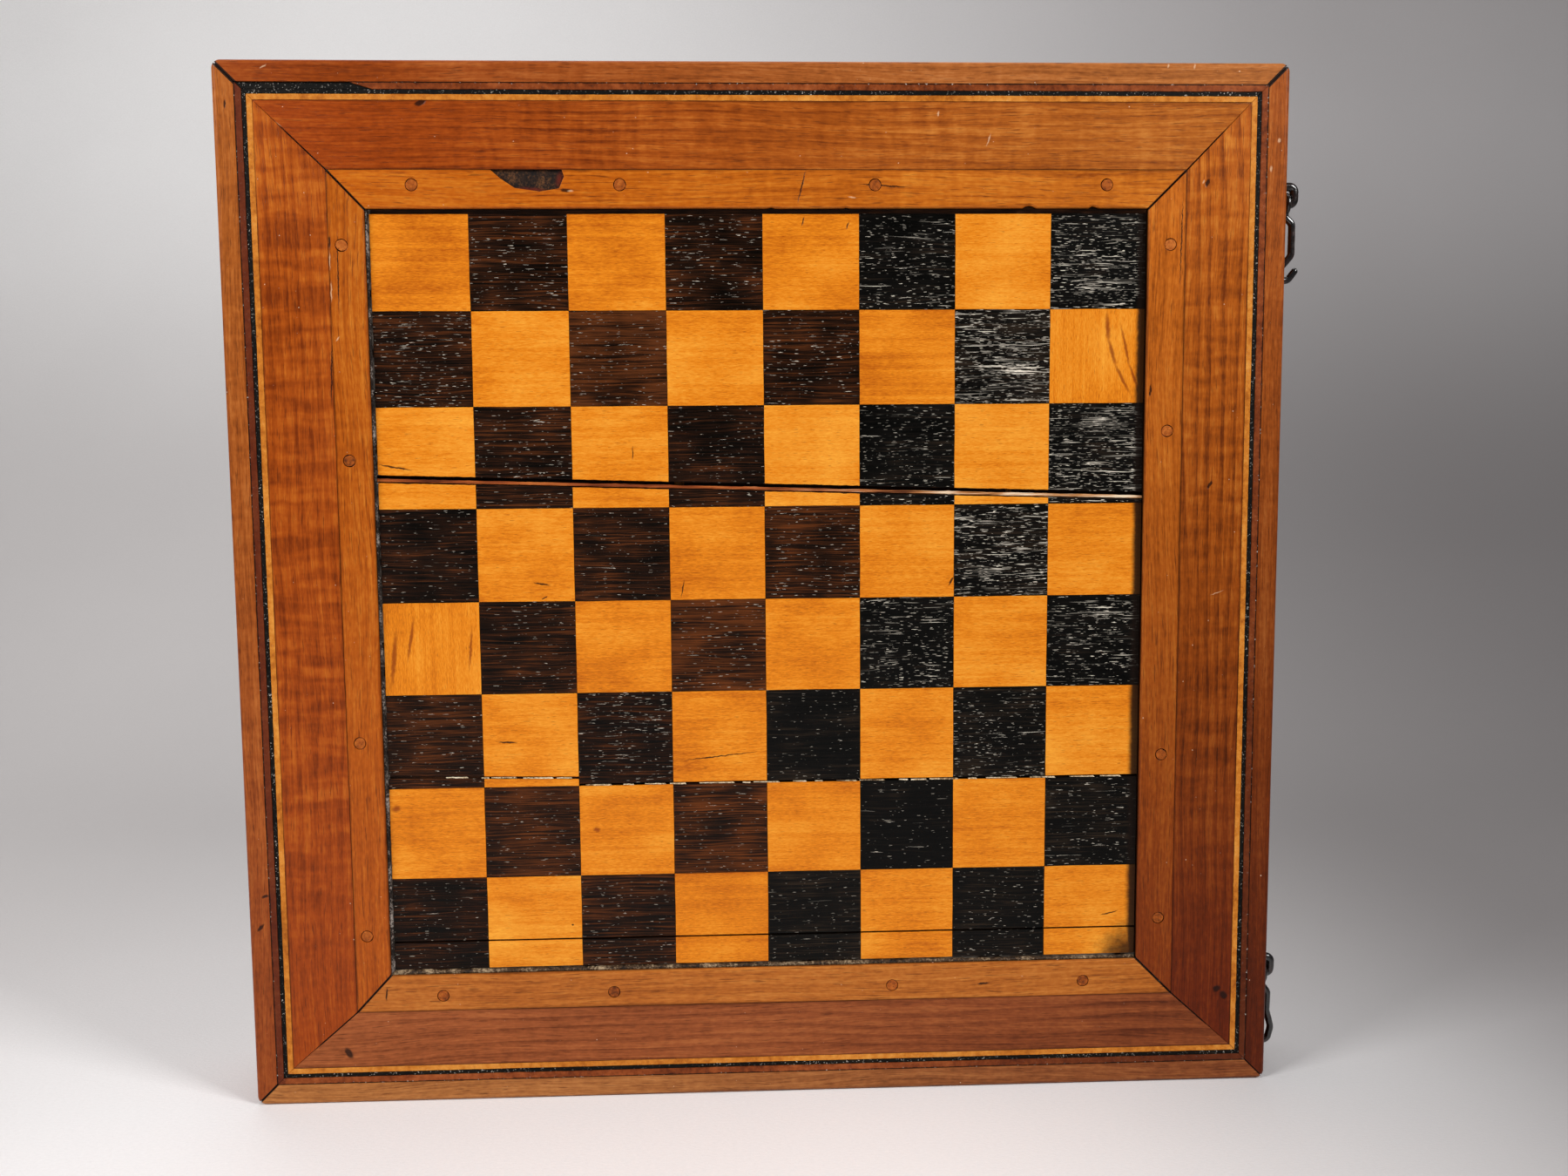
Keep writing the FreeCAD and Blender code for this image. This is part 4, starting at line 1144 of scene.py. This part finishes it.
def mitre_dirt(kind, corner):
    """Half width of the dirt in one mitre: the walls' is widest above and hardly shows at the lower right."""
    if kind != "wall":
        return {"band": 0.24 * MM, "strip": 0.42 * MM}[kind]
    if corner.y > 0.5 * CASE[3]:
        return 0.75 * MM
    return 0.4 * MM if corner.x < 0.0 else 0.22 * MM


def frame_materials(tray):
    """Wood of each band, strip and wall of one tray; only the chess tray has the marks."""
    worn = tray == "chess"
    made = {}
    for kind, tones, outer, inner, ripples, rings, dark_share in (
            ("band", BAND_TONES, BAND_OUT, BAND_IN, BAND_RIPPLES, BAND_RINGS, 0.5),
            ("strip", STRIP_TONES, STRIP_OUT, FIELD, STRIP_RIPPLES, STRIP_RINGS, 1.0),
            ("wall", WALL_TONES, CASE, INSIDE, STRIP_RIPPLES, STRIP_RINGS, 1.0)):
        made[kind] = {}
        for number, side in enumerate(SIDES):
            key = "%s_%s" % (kind, side)
            own = COURSE[side][0]
            in_start, in_end, out_end, out_start = mitred(side, outer, inner, (0.0, 0.0))
            made[kind][side] = frame_wood(
                "%s_%s" % (tray, key), GRAIN[side], CASE[:2] if GRAIN[side] == "x" else CASE[2:], tones[side],
                ripple=ripples[side], rings=rings[side],
                edges=None if kind == "wall" else sorted((outer[own], inner[own])), seam=kind == "wall",
                mitres=[(line, mitre_dirt(kind, line[0]), dark_share)
                        for line in ((out_start, in_start), (out_end, in_end))],
                dents=DENTS.get(key, ()) if worn else (), scars_and_glints=PALE_SCARS_AND_GLINTS.get(key, ()) if worn else (),
                seed=(0.0 if worn else 9.0) + number * 1.3 + len(kind) * 0.37)
    return made


def painted(node, material):
    """Gives a node of the frame its finish."""
    slots = frame["nodes"][node].data.materials
    slots.clear()
    slots.append(material)


def forged(node, material):
    """Gives an iron node its finish and an uneven, hammered skin."""
    painted(node, material)
    modifiers = frame["nodes"][node].modifiers
    modifiers.new("joined", "WELD").merge_threshold = 0.001 * MM
    remesh = modifiers.new("even", "REMESH")
    remesh.mode = "VOXEL"
    remesh.voxel_size = 0.26 * MM
    remesh.use_smooth_shade = True
    lumps = bpy.data.textures.new(node + "_lumps", "CLOUDS")
    lumps.noise_scale = 3.0 * MM
    beaten = modifiers.new("beaten", "DISPLACE")
    beaten.texture = lumps
    beaten.texture_coords = "LOCAL"
    beaten.mid_level = 1.0
    beaten.strength = 0.2 * MM


# The two trays
lost_wood = grime("lost_wood", ((8, 4, 2), (40, 23, 11), (104, 66, 34)), LOST_PATCH_STAINS)
peg_wood = peg_end("peg_wood")
iron = forged_iron("iron")
string_woods = {
    "red_fillet": fillet_wood("red_fillet"),
    "black_string": string_wood("black_string", ((3, 2, 1), (9, 7, 4), (26, 22, 16)), 0.7, rough=0.6),
    "light_string": string_wood("light_string", ((146, 74, 14), (194, 116, 36), (220, 148, 62)), 0.12),
}
for tray in TRAYS:
    woods = frame_materials(tray)
    bands(tray, woods["band"])
    strips(tray, woods["strip"], lost_wood)
    pegs(tray, peg_wood)
    strings(tray, string_woods)
    rims(tray, woods["wall"])
    for side in SIDES:
        painted("%s_wall_%s" % (tray, side), woods["wall"][side])

# The chess field
light_square_wood = light_veneer("light_square_wood", LIGHT_STAINS, LIGHT_BURNS)
dark_square_wood = dark_veneer("dark_square_wood", DARK_SCUFFS_AND_GLINTS)
squares(light_square_wood, dark_square_wood)
crack_slip(splinter_wood("crack_slip"))
crack_filler(grime("filler", ((96, 72, 48), (206, 184, 148), (244, 232, 206))))
dirt_bead("dirt_left", grime("dust_grey", ((12, 9, 7), (50, 40, 34), (168, 156, 146))),
          Vector((FIELD[0], FIELD[3])), Vector((1.0, 0.0)), (1.25, 0.8), 1.0)
dirt_bead("dirt_below", grime("wax_brown", ((20, 13, 8), (78, 56, 36), (176, 152, 120)), rough=0.4),
          Vector((FIELD[1], FIELD[2])), Vector((0.0, 1.0)), (1.5, 1.1), 2.0)
glue_lines(grime("old_glue", ((8, 5, 3), (26, 14, 8), (60, 34, 20))))
bare_plank = plank_wood("bare_plank")
for plank in range(len(PLANK_DROP)):
    painted("chess_plank_%d" % (plank + 1), bare_plank)

# The back, and the inside of both trays
plain_woods = [("back_planks", "x", BACK_TONES, 21.0)]
for tray, seed in zip(TRAYS, (31.0, 35.0)):
    plain_woods.append((tray + "_lining", "x", LINING_TONES, seed))
    plain_woods.append((tray + "_light_points", "z", LIGHT_POINT_TONES, seed + 1))
    plain_woods.append((tray + "_dark_points", "z", DARK_POINT_TONES, seed + 2))
for node, grain, tones, seed in plain_woods:
    reach = FIELD[:2] if grain == "x" else CASE[2:]
    painted(node, frame_wood(node, grain, reach, tones, seed=seed))

# Irons
for place in ("upper", "lower"):
    for word in ("hook", "hook_staple", "catch_staple"):
        forged("%s_%s" % (place, word), iron)
    for word in ("hinge_chess_leaf", "hinge_back_leaf", "hinge_pin"):
        painted("%s_%s" % (place, word), iron)
for tray in TRAYS:
    painted(tray + "_hinge_screws", iron)


# Stage, lights and camera
FLOOR_FRONT = -60.0
FLOOR_BACK = 0.4
SWEEP_RADIUS = 1.1
SWEEP_STEPS = 24
WALL_TOP = 40.0
HALF_WIDTH = 60.0
WORLD_STRENGTH = 0.12
LAMP_TARGET = (0.0, 0.0, 0.2)


def sweep_material():
    """Pale cloth with painted shadows of the object: greyer towards the right and halfway up, and even far
    away.
    """
    paint = Paint("sweep", specular=0.1)
    weave = paint.noise(paint.place, (520.0, 900.0, 700.0), 3.0, 0.7)
    cloud = paint.noise(paint.place, 5.0, 3.0)
    # Painted shadows on the backdrop: greyer low down, and darker towards the right
    high = paint.span(paint.z, 0.15, 0.75)
    grey = paint.blend(high, colour(204, 200, 199), colour(255, 253, 252))
    right_backdrop_with_shadow = paint.blend(high, colour(130, 126, 126), colour(196, 192, 192))
    backdrop = paint.blend(paint.span(paint.x, -0.6, 0.9), grey, right_backdrop_with_shadow)
    # Painted shadows on the floor: a little greyer far to the left, and much darker to the right of the
    # object
    left_floor_with_shadow = paint.blend(paint.span(paint.x, -0.5, -0.15), colour(220, 216, 215), colour(250, 248, 248))
    floor_with_shadows = paint.over(left_floor_with_shadow, paint.span(paint.x, 0.04, 0.46), (122, 118, 118))
    base = paint.blend(paint.span(paint.y, -0.3, 0.7), floor_with_shadows, backdrop)
    away = paint.vector("DISTANCE", paint.place, (0.0, 0.5, 0.0))
    base = paint.over(base, paint.span(away, 1.9, 3.2), (244, 242, 242))
    uneven = paint.total(0.0, (weave, -0.2), (cloud, -0.12))
    base = paint.over(base, paint.math("ADD", uneven, 0.04, clamp=True), (150, 146, 146))
    return paint.done(base, 0.7, weave, 0.3 * MM, 0.5)


def sweep():
    """Floor that curves up into a backdrop."""
    profile = [(FLOOR_FRONT, 0.0)]
    for index in range(SWEEP_STEPS + 1):
        angle = 0.5 * math.pi * index / SWEEP_STEPS
        profile.append((FLOOR_BACK + SWEEP_RADIUS * math.sin(angle), SWEEP_RADIUS * (1.0 - math.cos(angle))))
    profile.append((FLOOR_BACK + SWEEP_RADIUS, WALL_TOP))
    mesh = bmesh.new()
    rows = [[mesh.verts.new((x, y, z)) for x in (-HALF_WIDTH, HALF_WIDTH)] for y, z in profile]
    for near, far in zip(rows, rows[1:]):
        face = mesh.faces.new((near[0], near[1], far[1], far[0]))
        face.smooth = True
    floor = meshed("sweep", mesh, sweep_material())


def lamp(name, place, size, power):
    """A soft square lamp that faces the object."""
    data = bpy.data.lights.new(name, "AREA")
    data.size = size
    data.energy = power
    light = linked(name, data)
    light.location = place
    light.rotation_euler = (Vector(LAMP_TARGET) - Vector(place)).to_track_quat("-Z", "Y").to_euler()


def world():
    """Dim even light all round."""
    made = bpy.data.worlds.new("world")
    made.use_nodes = True
    background = made.node_tree.nodes["Background"]
    background.inputs["Color"].default_value = (0.86, 0.86, 0.88, 1.0)
    background.inputs["Strength"].default_value = WORLD_STRENGTH
    bpy.context.scene.world = made


def camera():
    """The view of the chess face, from a little above its middle."""
    data = bpy.data.cameras.new("camera")
    data.lens = CAMERA_LENS
    data.clip_start = 0.01
    seen_from = linked("camera", data)
    columns = (Vector(CAMERA_RIGHT), Vector(CAMERA_UP), -Vector(CAMERA_VIEW))
    turn = Matrix(columns).transposed().to_4x4()
    seen_from.matrix_world = Matrix.Translation(CAMERA_PLACE) @ turn
    bpy.context.scene.camera = seen_from


sweep()
lamp("key_right", (1.03, -0.82, 1.0), 0.45, 16.0)
lamp("fill_left", (-1.07, -0.76, 0.95), 0.5, 15.0)
lamp("overhead", (0.0, 0.1, 2.2), 1.2, 8.0)
lamp("behind", (-0.3, 1.3, 1.6), 1.6, 9.5)
world()
camera()
bpy.context.scene.view_settings.view_transform = "Standard"
